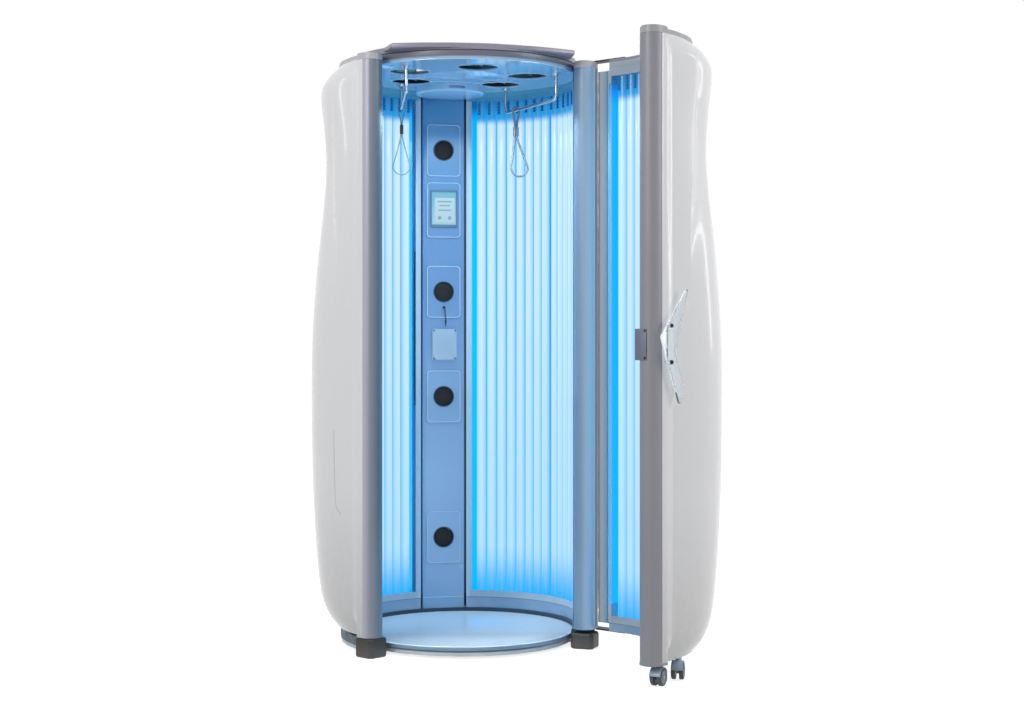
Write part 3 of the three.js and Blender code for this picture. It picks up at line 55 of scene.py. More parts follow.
# Sizes of the booth in millimetres and degrees, as the solids have them.
CABIN_R = 418.0
SEAT_GAP = 0.3
LAMP_R, LAMP_D = 445.0, 38.0
LAMP_LOW, LAMP_HIGH = 103.0, 2099.0
LAMP_PITCH = 5.4007
WALL_LAMPS = [first - LAMP_PITCH * i for first in (69.399, 24.595) for i in range(8)]
WALL_RAIL, DOOR_RAIL = (-15.61, 71.80), (229.90, 315.71)
RAIL_IN, RAIL_OUT, RAIL_TOP = 424.0, 467.0, 2112.0
CLIP_Z = 2026.0
POST_AT, POST_R, POST_HALF = 34.0, 474.0, 40.0
DOOR_POST_AT, DOOR_END = 224.1998, 319.4998
DOOR_LAMPS = [232.3 + LAMP_PITCH * i for i in range(16)]
HINGE = (430.9998, -220.0045)
DOOR_OPEN = 80.5
CEILING_Z, CEILING_T = 2108.0, 4.0
FASCIA_LOW, FASCIA_MID, FASCIA_HIGH = 2118.0, 2141.5, 2165.0
FAN_AT = (42.0, 138.0, 199.0, 270.0, 341.0)
FAN_RING, FAN_D = 235.0, 145.0
ROTOR_TOP, ROTOR_R, HUB_R = 2132.7, 68.2, 23.0
OUTLET_R, OUTLET_Y, OUTLET_T = 135.0, 274.3, 30.0
COVER_R, COVER_HOLE_R, COVER_SCREW_R = 393.6, 66.5, 378.0
COVER_LOW, COVER_HIGH = 2156.3, 2159.3
PLATFORM_R, PLATFORM_LOW, PLATFORM_HIGH = 408.0, 29.0, 45.0
BAR_Z, BAR_D, BAR_BEND = 2012.0, 12.0, 26.0
STRAP_LOW, STRAP_ARCH = 1756.0, 14.0
SHELL_LOW, SHELL_HIGH, SKIN_T = 70.0, 2122.0, 3.0
EDGE_R, TAIL_END, SIDE_SPAN = 506.0, 30.3, 95.97
DOOR_BULGE = 50.0
BACK_FROM, BACK_SPAN = 62.0, 56.0
COLUMN_Y, PAD_FRONT = 410.0, 406.0
SPEAKERS = (1877.0, 1315.0, 899.0, 340.0)
DISPLAY_Z, DISPLAY_T = 1645.0, 5.0
JACK_Y, JACK_Z = 387.7, 1253.0
STRIKE_Z, HANDLE_Z = 1107.0, 1109.0
HANDLE_STAND, HANDLE_T = 18.0, 8.0
BRUSH_ROOT, BRUSH_REACH = 12.6, 51.0
CASTORS = ((480.0, 228.4998), (486.0, 243.9998))
WHEEL_R, WHEEL_TRAIL, CASTOR_TURN = 29.0, 14.0, 100.0

# The camera that was fitted to the photograph.
CAMERA_AT, CAMERA_TURN = (-1.3132, -6.3165, 1.1137), -13.3256
CAMERA_LENS, CAMERA_SHIFT = 60.51, -0.0152


def polar(radius, angle):
    a = math.radians(angle)
    return radius * math.cos(a), radius * math.sin(a)


def rotated(x, y, angle):
    c, s = polar(1.0, angle)
    return c * x - s * y, s * x + c * y


def ease(x, low, high):
    t = min(1.0, max(0.0, (x - low) / (high - low)))
    return t * t * (3 - 2 * t)


def spread(low, high, count):
    """Even steps from low up to, but without, high."""
    return [low + (high - low) * k / count for k in range(count)]


def still(x, y, z):
    return x, y, z


def mirrored(x, y, z):
    return -x, y, z


def swung(x, y, z):
    """A point of the closed door, carried to where the door stands open."""
    x, y = rotated(x - HINGE[0], y - HINGE[1], DOOR_OPEN)
    return HINGE[0] + x, HINGE[1] + y, z


def way(start, end):
    """The level direction from one point to another."""
    return end[0] - start[0], end[1] - start[1], 0.0


def srgb(r, g, b):
    def linear(c):
        c /= 255
        return c / 12.92 if c <= 0.04045 else ((c + 0.055) / 1.055) ** 2.4
    return linear(r), linear(g), linear(b), 1.0


# Camera at the photograph's place and angle.
def add_camera():
    data = bpy.data.cameras.new("front_view")
    data.sensor_width = 36.0
    data.lens = CAMERA_LENS
    data.shift_y = CAMERA_SHIFT
    data.clip_end = 100.0
    cam = bpy.data.objects.new("front_view", data)
    cam.location = CAMERA_AT
    cam.rotation_euler = (math.radians(90), 0, math.radians(CAMERA_TURN))
    scene.collection.objects.link(cam)
    scene.camera = cam


add_camera()


# Node helpers.
def put(tree, kind, inputs=None, take=0, **settings):
    """Adds a node, sets or links its inputs and gives one of its outputs, or the node itself for None."""
    node = tree.nodes.new(kind)
    for key, value in settings.items():
        setattr(node, key, value)
    for key, value in (inputs or {}).items():
        if isinstance(value, bpy.types.NodeSocket):
            tree.links.new(value, node.inputs[key])
        else:
            node.inputs[key].default_value = value
    return node if take is None else node.outputs[take]


def calc(tree, operation, first, second):
    return put(tree, "ShaderNodeMath", {0: first, 1: second}, operation=operation)


def times(tree, first, second):
    return calc(tree, "MULTIPLY", first, second)


def ramp(tree, value, low, high, to_low=0.0, to_high=1.0, **settings):
    limits = {"From Min": low, "From Max": high, "To Min": to_low, "To Max": to_high}
    return put(tree, "ShaderNodeMapRange", {"Value": value, **limits}, **settings)


def soft_ramp(tree, value, low, high):
    return ramp(tree, value, low, high, interpolation_type="SMOOTHSTEP")


def blend(tree, share, under, over):
    return put(tree, "ShaderNodeMix", {0: share, 6: under, 7: over}, take=2, data_type="RGBA")


def object_place(tree):
    return put(tree, "ShaderNodeTexCoord", take="Object")


def object_height(tree):
    return put(tree, "ShaderNodeSeparateXYZ", {0: object_place(tree)}, take=2)


def group_tree(name, kind, ins, outs):
    """A new node group, with the sockets that bring values in and those that take results out."""
    tree = bpy.data.node_groups.new(name, kind)
    for title, sort, default in ins:
        socket = tree.interface.new_socket(title, in_out="INPUT", socket_type=sort)
        if default is not None:
            socket.default_value = default
    for title, sort in outs:
        tree.interface.new_socket(title, in_out="OUTPUT", socket_type=sort)
    return tree, tree.nodes.new("NodeGroupInput").outputs, tree.nodes.new("NodeGroupOutput").inputs


FLOAT = "NodeSocketFloat"


def paint_grain_group():
    """Slow clouding and fine grain over a painted, moulded or rolled surface."""
    tree, given, result = group_tree("paint_grain", "ShaderNodeTree",
                                     [("Cloud Scale", FLOAT, 3.0), ("Grain Scale", FLOAT, 300.0),
                                      ("Along Z", FLOAT, 1.0)],
                                     [("Cloud", FLOAT), ("Grain", FLOAT)])
    place = object_place(tree)
    stretch = put(tree, "ShaderNodeCombineXYZ", {0: 1.0, 1: 1.0, 2: given["Along Z"]})
    drawn = put(tree, "ShaderNodeVectorMath", {0: place, 1: stretch}, operation="MULTIPLY")
    cloud = put(tree, "ShaderNodeTexNoise", {"Vector": place, "Scale": given["Cloud Scale"], "Detail": 3.0,
                                             "Roughness": 0.55})
    grain = put(tree, "ShaderNodeTexNoise", {"Vector": drawn, "Scale": given["Grain Scale"], "Detail": 2.0,
                                             "Roughness": 0.6})
    tree.links.new(cloud, result["Cloud"])
    tree.links.new(grain, result["Grain"])
    return tree


def grime_and_shade_group():
    """Darkening that thins out upwards from the floor, broken by noise: dirt on low parts, painted shade
    where it reaches high.
    """
    tree, given, result = group_tree("floor_dust", "ShaderNodeTree",
                                     [("Reach", FLOAT, 0.12), ("Amount", FLOAT, 0.5)], [("Grime_And_Shade", FLOAT)])
    fall = ramp(tree, object_height(tree), 0.0, given["Reach"], 1.0, 0.0)
    patchy_noise = put(tree, "ShaderNodeTexNoise", {"Vector": object_place(tree), "Scale": 38.0, "Detail": 5.0})
    even = ramp(tree, patchy_noise, 0.3, 0.7, 0.8)
    tree.links.new(times(tree, times(tree, fall, even), given["Amount"]), result["Grime_And_Shade"])
    return tree


PAINT_GRAIN = paint_grain_group()
# The darkening from the floor is dirt on small low parts and painted shade on the shells.
GRIME_AND_SHADE = grime_and_shade_group()
GRIME_AND_SHADE_TINT = (150, 148, 142)


def grained_material(name, cloud=3.0, grain=300.0, along=1.0):
    """A new material with its tree, its shader and the outputs of its clouding and grain."""
    material = bpy.data.materials.new(name)
    material.use_nodes = True
    tree = material.node_tree
    scales = {"Cloud Scale": cloud, "Grain Scale": grain, "Along Z": along}
    base = put(tree, "ShaderNodeGroup", scales, take=None, node_tree=PAINT_GRAIN)
    return material, tree, tree.nodes["Principled BSDF"], base.outputs


def roughen(tree, shader, grain, span, rough, bump, depth):
    """Uneven gloss and fine relief, both from the grain."""
    tree.links.new(ramp(tree, grain, *span, *rough), shader.inputs["Roughness"])
    relief = put(tree, "ShaderNodeBump", {"Strength": bump, "Distance": depth, "Height": grain})
    tree.links.new(relief, shader.inputs["Normal"])


def colour_steps(tree, colour, value, steps):
    """Lays steps of colour over a colour, each between two lengths, with its tint and strength."""
    for low, high, tint, strength in steps:
        share = times(tree, ramp(tree, value, low * MM, high * MM), strength)
        colour = blend(tree, share, colour, srgb(*tint))
    return colour


def finish(name, tint, shade, rough, cloud=2.5, grain=400.0, along=1.0, bump=0.05, dust=None, bands=(),
           across=None, painted_light_steps=(), **sockets):
    """A finish with clouded colour, grained gloss and fine relief. bands are steps of colour up the piece;
    the steps along the direction across are painted shade and lamp light; and the darkening from the floor,
    given as its reach and amount, is dirt on low parts and painted shade on the shells."""
    material, tree, shader, base = grained_material(name, cloud, grain, along)
    colour = blend(tree, base["Cloud"], srgb(*tint), srgb(*shade))
    if bands:
        colour = colour_steps(tree, colour, object_height(tree), bands)
    if across:
        run = put(tree, "ShaderNodeVectorMath", {0: object_place(tree), 1: (*across, 0.0)}, take="Value",
                  operation="DOT_PRODUCT")
        colour = colour_steps(tree, colour, run, painted_light_steps)
    if dust:
        layer = put(tree, "ShaderNodeGroup", node_tree=GRIME_AND_SHADE, take=None)
        layer.inputs["Reach"].default_value, layer.inputs["Amount"].default_value = dust
        colour = blend(tree, layer.outputs["Grime_And_Shade"], colour, srgb(*GRIME_AND_SHADE_TINT))
    tree.links.new(colour, shader.inputs["Base Color"])
    roughen(tree, shader, base["Grain"], (0.3, 0.7), rough, bump, 0.0004)
    for key, value in sockets.items():
        shader.inputs[key.replace("_", " ")].default_value = value
    return material


def lamp_tube_material():
    """Lit tube: pale where it faces the cabin, blue at its flanks and towards its two ends."""
    material, tree, shader, base = grained_material("lamp_tube_lit", 1.4, 900.0)
    toward = put(tree, "ShaderNodeAttribute", take="Fac", attribute_name="toward")
    height = object_height(tree)
    front = blend(tree, soft_ramp(tree, toward, 0.2, 0.8), srgb(140, 206, 244), srgb(206, 235, 250))
    round_tube = blend(tree, soft_ramp(tree, toward, 0.04, 0.3), srgb(30, 150, 228), front)
    lower = blend(tree, ramp(tree, height, 1.5, 0.25, 0.0, 0.42), round_tube, srgb(132, 206, 250))
    foot = blend(tree, soft_ramp(tree, height, 0.32, 0.11), lower, srgb(26, 172, 250))
    dark = blend(tree, ramp(tree, height, 2.01, 2.085), srgb(20, 146, 218), srgb(4, 92, 152))
    head = blend(tree, soft_ramp(tree, height, 1.975, 2.01), foot, dark)
    glow = blend(tree, ramp(tree, base["Cloud"], 0.3, 0.7, 0.0, 0.1), head, srgb(150, 215, 255))
    tree.links.new(glow, shader.inputs["Emission Color"])
    shader.inputs["Emission Strength"].default_value = 0.97
    shader.inputs["Base Color"].default_value = srgb(34, 48, 58)
    roughen(tree, shader, base["Grain"], (0.0, 1.0), (0.12, 0.3), 0.04, 0.0003)
    return material


def glow_material(name, low, high, strength, z0, z1):
    """Sheet or screen that glows, its colour running from low to high between two heights in metres: the
    display's own light, and painted lamp light on the reflectors.
    """
    material, tree, shader, base = grained_material(name, 9.0)
    rise = blend(tree, ramp(tree, object_height(tree), z0, z1), srgb(*low), srgb(*high))
    glow = blend(tree, ramp(tree, base["Cloud"], 0.0, 1.0, 0.0, 0.18), rise, srgb(*low))
    tree.links.new(glow, shader.inputs["Emission Color"])
    tree.links.new(glow, shader.inputs["Base Color"])
    shader.inputs["Emission Strength"].default_value = strength
    roughen(tree, shader, base["Grain"], (0.0, 1.0), (0.1, 0.25), 0.03, 0.0002)
    return material


# Kinds of surface that several finishes share: clouds and grains in a metre, and relief.
DRAWN = dict(cloud=2.0, grain=700.0, along=0.01, bump=0.06, dust=(0.1, 0.3))
CAP_MOULDING = dict(cloud=4.0, grain=520.0, bump=0.08)
ROLLED_SHEET = dict(cloud=3.0, grain=460.0, bump=0.04)
SMALL_STEEL = dict(cloud=20.0, grain=800.0, bump=0.08)
SCREW_HEAD = dict(cloud=40.0, grain=900.0, bump=0.05)
PRINTED = dict(cloud=30.0, grain=600.0)
CAST_CLEAR = dict(cloud=6.0, grain=500.0, bump=0.015)

# Finishes of the walls: shells, posts, caps and sheets. ACROSS runs level over the photograph, left to right.
ACROSS = (0.9731, -0.2305)
# The shells darken towards their foot, up to 0.6 m: painted shade.
SHELL_WHITE = finish("shell_gloss_white", (238, 238, 239), (234, 234, 236), (0.16, 0.24), cloud=1.3,
                     grain=260.0, bump=0.02, dust=(0.6, 0.5), Coat_Weight=0.35, Coat_Roughness=0.06)
# The left post's colour steps are painted light: pale on its left, painted shade over its middle, darker and
# bluish on its right with painted lamp light.
POST_ALU = finish("post_anodised", (190, 189, 198), (182, 181, 191), (0.34, 0.46), **DRAWN, across=ACROSS,
                  painted_light_steps=[(-346.0, -322.0, (138, 142, 155), 1.0), (-318.0, -294.0, (108, 126, 142), 1.0)],
                  Metallic=0.2)
DOOR_POST_ALU = finish("door_post_anodised", (150, 149, 156), (140, 139, 147), (0.42, 0.54), **DRAWN,
                       Metallic=0.15)
# The hinge post is painted lamp light: bluish all over, paler and bluer towards its right side.
HINGE_POST_LAMP_LIT = finish("hinge_post_anodised", (126, 152, 176), (120, 146, 170), (0.38, 0.5), **DRAWN,
                        across=ACROSS,
                        painted_light_steps=[(428.0, 446.0, (164, 190, 212), 1.0), (446.0, 474.0, (186, 224, 250), 1.0)],
                        Metallic=0.15)
# The right shell lip is grey-blue, not the shells' white: painted shade and lamp light.
HINGE_LIP_SHADED = finish("hinge_post_flank", (136, 150, 168), (128, 142, 160), (0.38, 0.5), **DRAWN)
WALL_CAP = finish("wall_cap_moulding", (202, 202, 206), (192, 192, 197), (0.32, 0.46), **CAP_MOULDING)
CAP_GREY = finish("cap_moulding", (176, 178, 182), (164, 166, 171), (0.32, 0.46), **CAP_MOULDING)
SHEET_GREY = finish("surround_sheet", (196, 212, 224), (184, 202, 216), (0.26, 0.36), **ROLLED_SHEET,
                    bands=[(101.5, 100.5, (70, 92, 112), 0.7), (99.0, 98.0, (150, 178, 205), 1.0),
                           (2070.0, 2077.0, (104, 182, 206), 1.0)])
DOOR_SHEET = finish("door_sheet", (176, 186, 194), (164, 175, 184), (0.28, 0.4), **ROLLED_SHEET,
                    bands=[(101.5, 100.5, (70, 92, 112), 0.7), (99.0, 98.0, (132, 160, 182), 1.0),
                           (2126.0, 2128.0, (140, 140, 152), 1.0)])
SEAM = finish("moulding_seam", (150, 150, 152), (138, 138, 141), (0.4, 0.55), cloud=16.0, grain=600.0,
              bump=0.05)
# Dark strips behind the column's seams: painted shade in the gaps.
SEAM_SHADE = finish("edge_seal", (96, 92, 92), (82, 79, 80), (0.5, 0.66), cloud=16.0, grain=600.0, bump=0.08)

# Finishes of the lamp walls.
LAMP_TUBE = lamp_tube_material()
COLLAR_METAL = finish("lamp_collar", (190, 194, 200), (170, 176, 184), (0.25, 0.36), cloud=9.0, grain=600.0,
                      along=0.05, Metallic=1.0)
RAIL_WHITE = finish("lampholder_rail", (196, 206, 214), (184, 195, 205), (0.35, 0.5), cloud=6.0,
                    grain=400.0, bump=0.06)
CLIP_BLUE = finish("lamp_clip", (26, 124, 190), (18, 104, 166), (0.3, 0.45), cloud=30.0, grain=600.0,
                   bump=0.06)
# The reflectors and the door end liner glow though they are no lamps: painted lamp light reflected in them,
# darker towards the top.
REFLECTOR = glow_material("reflector_lit", (0, 166, 246), (8, 84, 128), 0.9, 2.0, 2.06)
DOOR_REFLECTOR = glow_material("door_reflector_lit", (40, 192, 250), (6, 120, 182), 0.9, 1.96, 2.06)
END_LINER = glow_material("door_end_liner_lit", (34, 176, 250), (16, 120, 176), 0.42, 1.98, 2.06)

# Finishes of the column: panel, speakers, display, pocket and lead.
# The column's bands are painted shade and lamp light: darker from 0.6 m upwards and bluer towards the
# ceiling.
COLUMN_BLUE_SHADED = finish("column_panel", (158, 188, 218), (150, 181, 213), (0.2, 0.3), cloud=2.0, grain=420.0,
                     bump=0.03,
                     bands=[(600.0, 1300.0, (112, 148, 190), 1.0), (1550.0, 2060.0, (96, 160, 204), 1.0)])
# The pad rims are raised, and pale all round: a painted highlight on them.
PAD_RIM = finish("pad_rim", (206, 220, 236), (196, 212, 230), (0.2, 0.32), cloud=5.0, grain=420.0)
SPEAKER = finish("speaker_cloth", (30, 29, 30), (20, 20, 22), (0.6, 0.8), cloud=60.0, grain=900.0, bump=0.2)
SPEAKER_RING = finish("speaker_ring", (58, 72, 98), (46, 58, 82), (0.3, 0.45), cloud=20.0, grain=500.0,
                      bump=0.08)
# The speakers' grille holes are near-black discs: painted shade in the holes.
GRILLE_HOLE = finish("grille_hole", (9, 9, 10), (5, 5, 6), (0.7, 0.9), cloud=40.0, grain=500.0)
BEZEL = finish("display_bezel", (92, 128, 158), (80, 116, 148), (0.14, 0.22), cloud=10.0, grain=400.0,
               bump=0.03, Coat_Weight=0.4, Coat_Roughness=0.04)
SCREEN = glow_material("display_screen", (150, 182, 186), (104, 166, 174), 0.2, 1.58, 1.71)
PANEL = glow_material("display_panel", (172, 186, 186), (182, 196, 194), 0.2, 1.58, 1.71)
MARK = finish("display_mark", (150, 164, 168), (138, 153, 159), (0.2, 0.3), **PRINTED)
KEY = finish("display_key", (150, 182, 190), (138, 172, 182), (0.2, 0.3), **PRINTED)
POCKET_CLEAR = finish("pocket_acrylic", (216, 230, 242), (206, 222, 236), (0.04, 0.1), **CAST_CLEAR,
                      Alpha=0.3)
LEAD = finish("lead_rubber", (28, 29, 32), (20, 21, 24), (0.5, 0.65), cloud=40.0, grain=700.0, bump=0.08)

# Finishes of the roof: ceiling, fascia, fans, bars and straps.
CEILING_GLOSS = finish("ceiling_gloss", (186, 222, 248), (176, 214, 244), (0.08, 0.14), cloud=2.0,
                       grain=300.0, bump=0.02, Coat_Weight=0.4, Coat_Roughness=0.04)
FASCIA = finish("fascia_silver", (156, 151, 164), (146, 141, 155), (0.3, 0.42), cloud=3.0, grain=520.0,
                along=8.0, bump=0.05,
                bands=[(2144.0, 2141.0, (114, 115, 128), 1.0), (2121.0, 2118.0, (176, 202, 224), 1.0),
                       (2162.5, 2164.0, (196, 199, 204), 1.0)],
                Metallic=0.15)
FAN_RIM = finish("fan_rim", (206, 226, 240), (196, 218, 234), (0.14, 0.22), cloud=9.0, grain=400.0)
TRAY_TEAL = finish("fan_tray_paint", (120, 164, 186), (106, 150, 174), (0.35, 0.5), cloud=5.0, grain=400.0,
                   bump=0.06)
ROTOR = finish("fan_rotor", (128, 172, 196), (112, 156, 182), (0.4, 0.55), cloud=9.0, grain=420.0,
               bump=0.08)
CHROME = finish("bar_chrome", (205, 209, 214), (190, 195, 201), (0.1, 0.2), cloud=10.0, grain=700.0,
                bump=0.03, Metallic=1.0)
WIRE = finish("strap_coating", (142, 158, 172), (130, 146, 162), (0.5, 0.62), cloud=30.0, grain=500.0,
              bump=0.03)
WIRE_THIN = finish("strap_coating_thin", (138, 150, 160), (126, 138, 150), (0.34, 0.5), cloud=30.0,
                   grain=900.0, bump=0.1)
CRIMP_STEEL = finish("crimp_steel", (168, 176, 184), (150, 158, 168), (0.22, 0.36), **SMALL_STEEL,
                     Metallic=0.9)
CRIMP_BLACK = finish("crimp_black", (24, 25, 27), (16, 17, 19), (0.35, 0.5), **SMALL_STEEL)

# Finishes of the base, the door's fittings and the castors.
PLATFORM = finish("platform_gloss", (230, 236, 242), (222, 230, 238), (0.14, 0.22), cloud=2.2, grain=340.0,
                  bump=0.03, bands=[(43.5, 41.0, (120, 152, 178), 1.0)], Coat_Weight=0.3,
                  Coat_Roughness=0.05)
BASE_TEAL = finish("base_frame_paint", (70, 90, 106), (58, 78, 94), (0.36, 0.5), cloud=6.0, grain=300.0,
                   bump=0.1, bands=[(25.0, 21.0, (214, 217, 220), 1.0)], dust=(0.02, 0.4))
FOOT_BLACK = finish("foot_moulding", (38, 34, 32), (28, 26, 25), (0.4, 0.6), cloud=12.0, grain=260.0,
                    bump=0.14, dust=(0.07, 0.3))
DARK_STEEL = finish("steel_dark_paint", (52, 55, 60), (40, 43, 48), (0.42, 0.6), cloud=7.0, grain=300.0,
                    bump=0.12, dust=(0.09, 0.3))
CATCH = finish("catch_steel", (112, 118, 132), (100, 106, 121), (0.3, 0.42), cloud=14.0, grain=600.0,
               bump=0.08, Metallic=0.4)
CLEAR = finish("clear_acrylic", (240, 246, 250), (240, 246, 250), (0.02, 0.06), **CAST_CLEAR,
               Transmission_Weight=0.92, IOR=1.49)
SCREW_BLACK = finish("screw_black", (26, 26, 28), (18, 18, 20), (0.35, 0.5), **SCREW_HEAD, Metallic=0.4)
SCREW_STEEL = finish("screw_steel", (150, 154, 160), (134, 138, 145), (0.28, 0.4), **SCREW_HEAD,
                     Metallic=0.9)
TREAD = finish("castor_tread", (66, 72, 80), (54, 60, 68), (0.5, 0.68), cloud=20.0, grain=500.0, bump=0.14,
               dust=(0.05, 0.3))
WHEEL_FACE = finish("castor_face", (126, 136, 150), (110, 121, 136), (0.32, 0.46), cloud=20.0, grain=500.0,
                    bump=0.08)
HOOD = finish("castor_hood", (168, 186, 208), (154, 173, 197), (0.26, 0.38), cloud=16.0, grain=500.0,
              bump=0.08, dust=(0.05, 0.3))


# Mesh helpers. Lengths come in millimetres.
def mesh_object(name, verts, faces, *materials):
    me = bpy.data.meshes.new(name)
    me.from_pydata([(x * MM, y * MM, z * MM) for x, y, z in verts], [], faces)
    me.validate()
    ob = bpy.data.objects.new(name, me)
    scene.collection.objects.link(ob)
    for m in materials:
        me.materials.append(m)
    return ob


def outwards(ob):
    """Merges doubles and turns every face outwards."""
    bm = bmesh.new()
    bm.from_mesh(ob.data)
    bmesh.ops.remove_doubles(bm, verts=bm.verts, dist=1e-6)
    bmesh.ops.recalc_face_normals(bm, faces=bm.faces)
    bm.to_mesh(ob.data)
    bm.free()
    return ob


def bake(ob):
    """The object's modifiers turned into plain mesh."""
    graph = bpy.context.evaluated_depsgraph_get()
    me = bpy.data.meshes.new_from_object(ob.evaluated_get(graph), preserve_all_data_layers=True,
                                         depsgraph=graph)
    ob.modifiers.clear()
    ob.data = me
    return ob


def seat(ob, *nodes, body=None, slot=None, angle=32):
    """Shades the piece, puts it on its body and hides the solids it stands for."""
    me = ob.data
    me.polygons.foreach_set("use_smooth", [True] * len(me.polygons))
    me.set_sharp_from_angle(angle=math.radians(angle))
    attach(ob, body or BODY_OF[nodes[0]])
    if nodes:
        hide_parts(*nodes)
    return ob


def on_cabinet(ob, slot, angle=32):
    return seat(ob, body="cabinet", slot=slot, angle=angle)


def on_door(ob, slot, angle=32):
    return seat(ob, body="door", slot=slot, angle=angle)


def rounded(ob, width, segments=2, angle=30):
    """Rounds the piece's hard edges."""
    bevel = ob.modifiers.new("edge", "BEVEL")
    bevel.width = width * MM
    bevel.segments = segments
    bevel.limit_method = "ANGLE"
    bevel.angle_limit = math.radians(angle)
    bevel.harden_normals = False
    flat = ob.modifiers.new("flat", "WEIGHTED_NORMAL")
    flat.keep_sharp = True
    return bake(ob)


def solid_copy(node, material, width=1.0, segments=2):
    """The solid of a node, its triangles joined to flats and its edges rounded."""
    ob = bpy.data.objects.new(node + "_finished", frame["nodes"][node].data.copy())
    scene.collection.objects.link(ob)
    ob.data.materials.clear()
    ob.data.materials.append(material)
    bm = bmesh.new()
    bm.from_mesh(ob.data)
    bmesh.ops.remove_doubles(bm, verts=bm.verts, dist=2e-5)
    bmesh.ops.dissolve_limit(bm, angle_limit=math.radians(0.6), verts=bm.verts, edges=bm.edges)
    for f in bm.faces:
        f.material_index = 0
        f.smooth = True
    bm.to_mesh(ob.data)
    bm.free()
    for name in [a.name for a in ob.data.attributes if a.name.startswith("custom_normal")]:
        ob.data.attributes.remove(ob.data.attributes[name])
    if width:
        rounded(ob, width, segments)
    return seat(ob, node)


def loft(name, rings, material, joined=False, turn=0):
    """A piece from rings of points, one after the other, with flat ends. A joined one has no ends: it runs
    back into its first ring, turned by that many points."""
    n, count = len(rings[0]), len(rings)
    faces = []
    for k in range(count if joined else count - 1):
        here, there = k * n, (k + 1) % count * n
        twist = turn if k == count - 1 else 0
        faces += [(here + i, here + (i + 1) % n, there + (i + 1 + twist) % n, there + (i + twist) % n)
                  for i in range(n)]
    if not joined:
        last = (count - 1) * n
        faces += [tuple(range(n)), tuple(range(last + n - 1, last - 1, -1))]
    return outwards(mesh_object(name, [p for ring in rings for p in ring], faces, material))


def ring_points(radius, sides, centre=(0.0, 0.0)):
    points = [polar(radius, 360 * k / sides) for k in range(sides)]
    return [(centre[0] + x, centre[1] + y) for x, y in points]


def lathe(name, profile, sides, material, centre=(0.0, 0.0), closed=False, move=still):
    """A turned piece: profile is (radius, height) points. A closed profile makes a ring."""
    rings = [[move(x, y, z) for x, y in ring_points(r, sides, centre)] for r, z in profile]
    return loft(name, rings, material, closed)


def plate(name, outer, holes, z0, z1, material):
    """A flat plate with holes, each outline a list of (x, y)."""
    bm = bmesh.new()
    edges = []
    for loop in [outer] + holes:
        vs = [bm.verts.new((x * MM, y * MM, z0 * MM)) for x, y in loop]
        edges += [bm.edges.new((vs[i], vs[(i + 1) % len(vs)])) for i in range(len(vs))]
    bmesh.ops.triangle_fill(bm, use_beauty=True, edges=edges)
    got = bmesh.ops.extrude_face_region(bm, geom=list(bm.faces))
    top = [v for v in got["geom"] if isinstance(v, bmesh.types.BMVert)]
    bmesh.ops.translate(bm, vec=(0, 0, (z1 - z0) * MM), verts=top)
    bmesh.ops.recalc_face_normals(bm, faces=bm.faces)
    ob = mesh_object(name, [], [], material)
    bm.to_mesh(ob.data)
    bm.free()
    return ob


def smooth_path(points, per, closed=False):
    """Points on a Catmull-Rom line through the given ones."""
    pts = [Vector(p) for p in points]
    n = len(pts)
    out = []
    for i in range(n if closed else n - 1):
        p0 = pts[(i - 1) % n] if closed or i > 0 else pts[0] * 2 - pts[1]
        p1, p2 = pts[i], pts[(i + 1) % n]
        p3 = pts[(i + 2) % n] if closed or i + 2 < n else pts[-1] * 2 - pts[-2]
        for t in spread(0, 1, per):
            out.append(0.5 * ((2 * p1) + (p2 - p0) * t + (2 * p0 - 5 * p1 + 4 * p2 - p3) * t * t
                              + (3 * p1 - p0 - 3 * p2 + p3) * t ** 3))
    if not closed:
        out.append(pts[-1])
    return out


def tube(name, points, radius, sides, material, closed=False):
    """A round bar along points, its rings carried along without a twist."""
    pts = [Vector(p) for p in points]
    n = len(pts)
    rings, side = [], None
    for i, p in enumerate(pts):
        before = pts[i - 1] if closed or i > 0 else p
        after = pts[(i + 1) % n] if closed or i < n - 1 else p
        ahead = (after - before).normalized()
        side = side or ahead.orthogonal()
        side = (side - ahead * side.dot(ahead)).normalized()
        other = ahead.cross(side)
        rings.append([p + side * u + other * v for u, v in ring_points(radius, sides)])

    def misfit(turn):
        return sum((rings[-1][k] - rings[0][(k + turn) % sides]).length for k in range(0, sides, 3))

    return loft(name, rings, material, closed, min(range(sides), key=misfit) if closed else 0)


def carve(ob, *cutters):
    """Cuts the cutters out of the piece and takes them away."""
    for c in cutters:
        cut = ob.modifiers.new("cut", "BOOLEAN")
        cut.operation = "DIFFERENCE"
        cut.solver = "EXACT"
        cut.object = c
    bake(ob)
    for c in cutters:
        bpy.data.objects.remove(c)
    return ob


def soft_rect(w, h, r, steps=6):
    """Outline of a rectangle with round corners, centred."""
    x, y = w / 2 - r, h / 2 - r
    out = []
    for quarter, (cx, cy) in enumerate(((x, y), (-x, y), (-x, -y), (x, -y))):
        for k in range(steps + 1):
            dx, dy = polar(r, 90 * quarter + 90 * k / steps)
            out.append((cx + dx, cy + dy))
    return out


def front_slab(name, outline, x, z, y0, y1, material):
    """A slab that faces the cabin: outline in (x, z), between y0 (front) and y1."""
    return loft(name, [[(x + u, y, z + v) for u, v in outline] for y in (y0, y1)], material)


def box(name, x0, x1, y0, y1, z0, z1, material):
    return front_slab(name, [(x0, z0), (x1, z0), (x1, z1), (x0, z1)], 0, 0, y0, y1, material)


def arc_slab(name, r0, r1, a0, a1, z0, z1, material, move=still):
    """A bent bar between two radii, two angles and two heights."""
    degrees_a_step = 1.5
    angles = spread(a0, a1, max(2, int(abs(a1 - a0) / degrees_a_step))) + [a1]
    corners = ((r0, z0), (r1, z0), (r1, z1), (r0, z1))
    return loft(name, [[move(*polar(r, a), z) for r, z in corners] for a in angles], material)


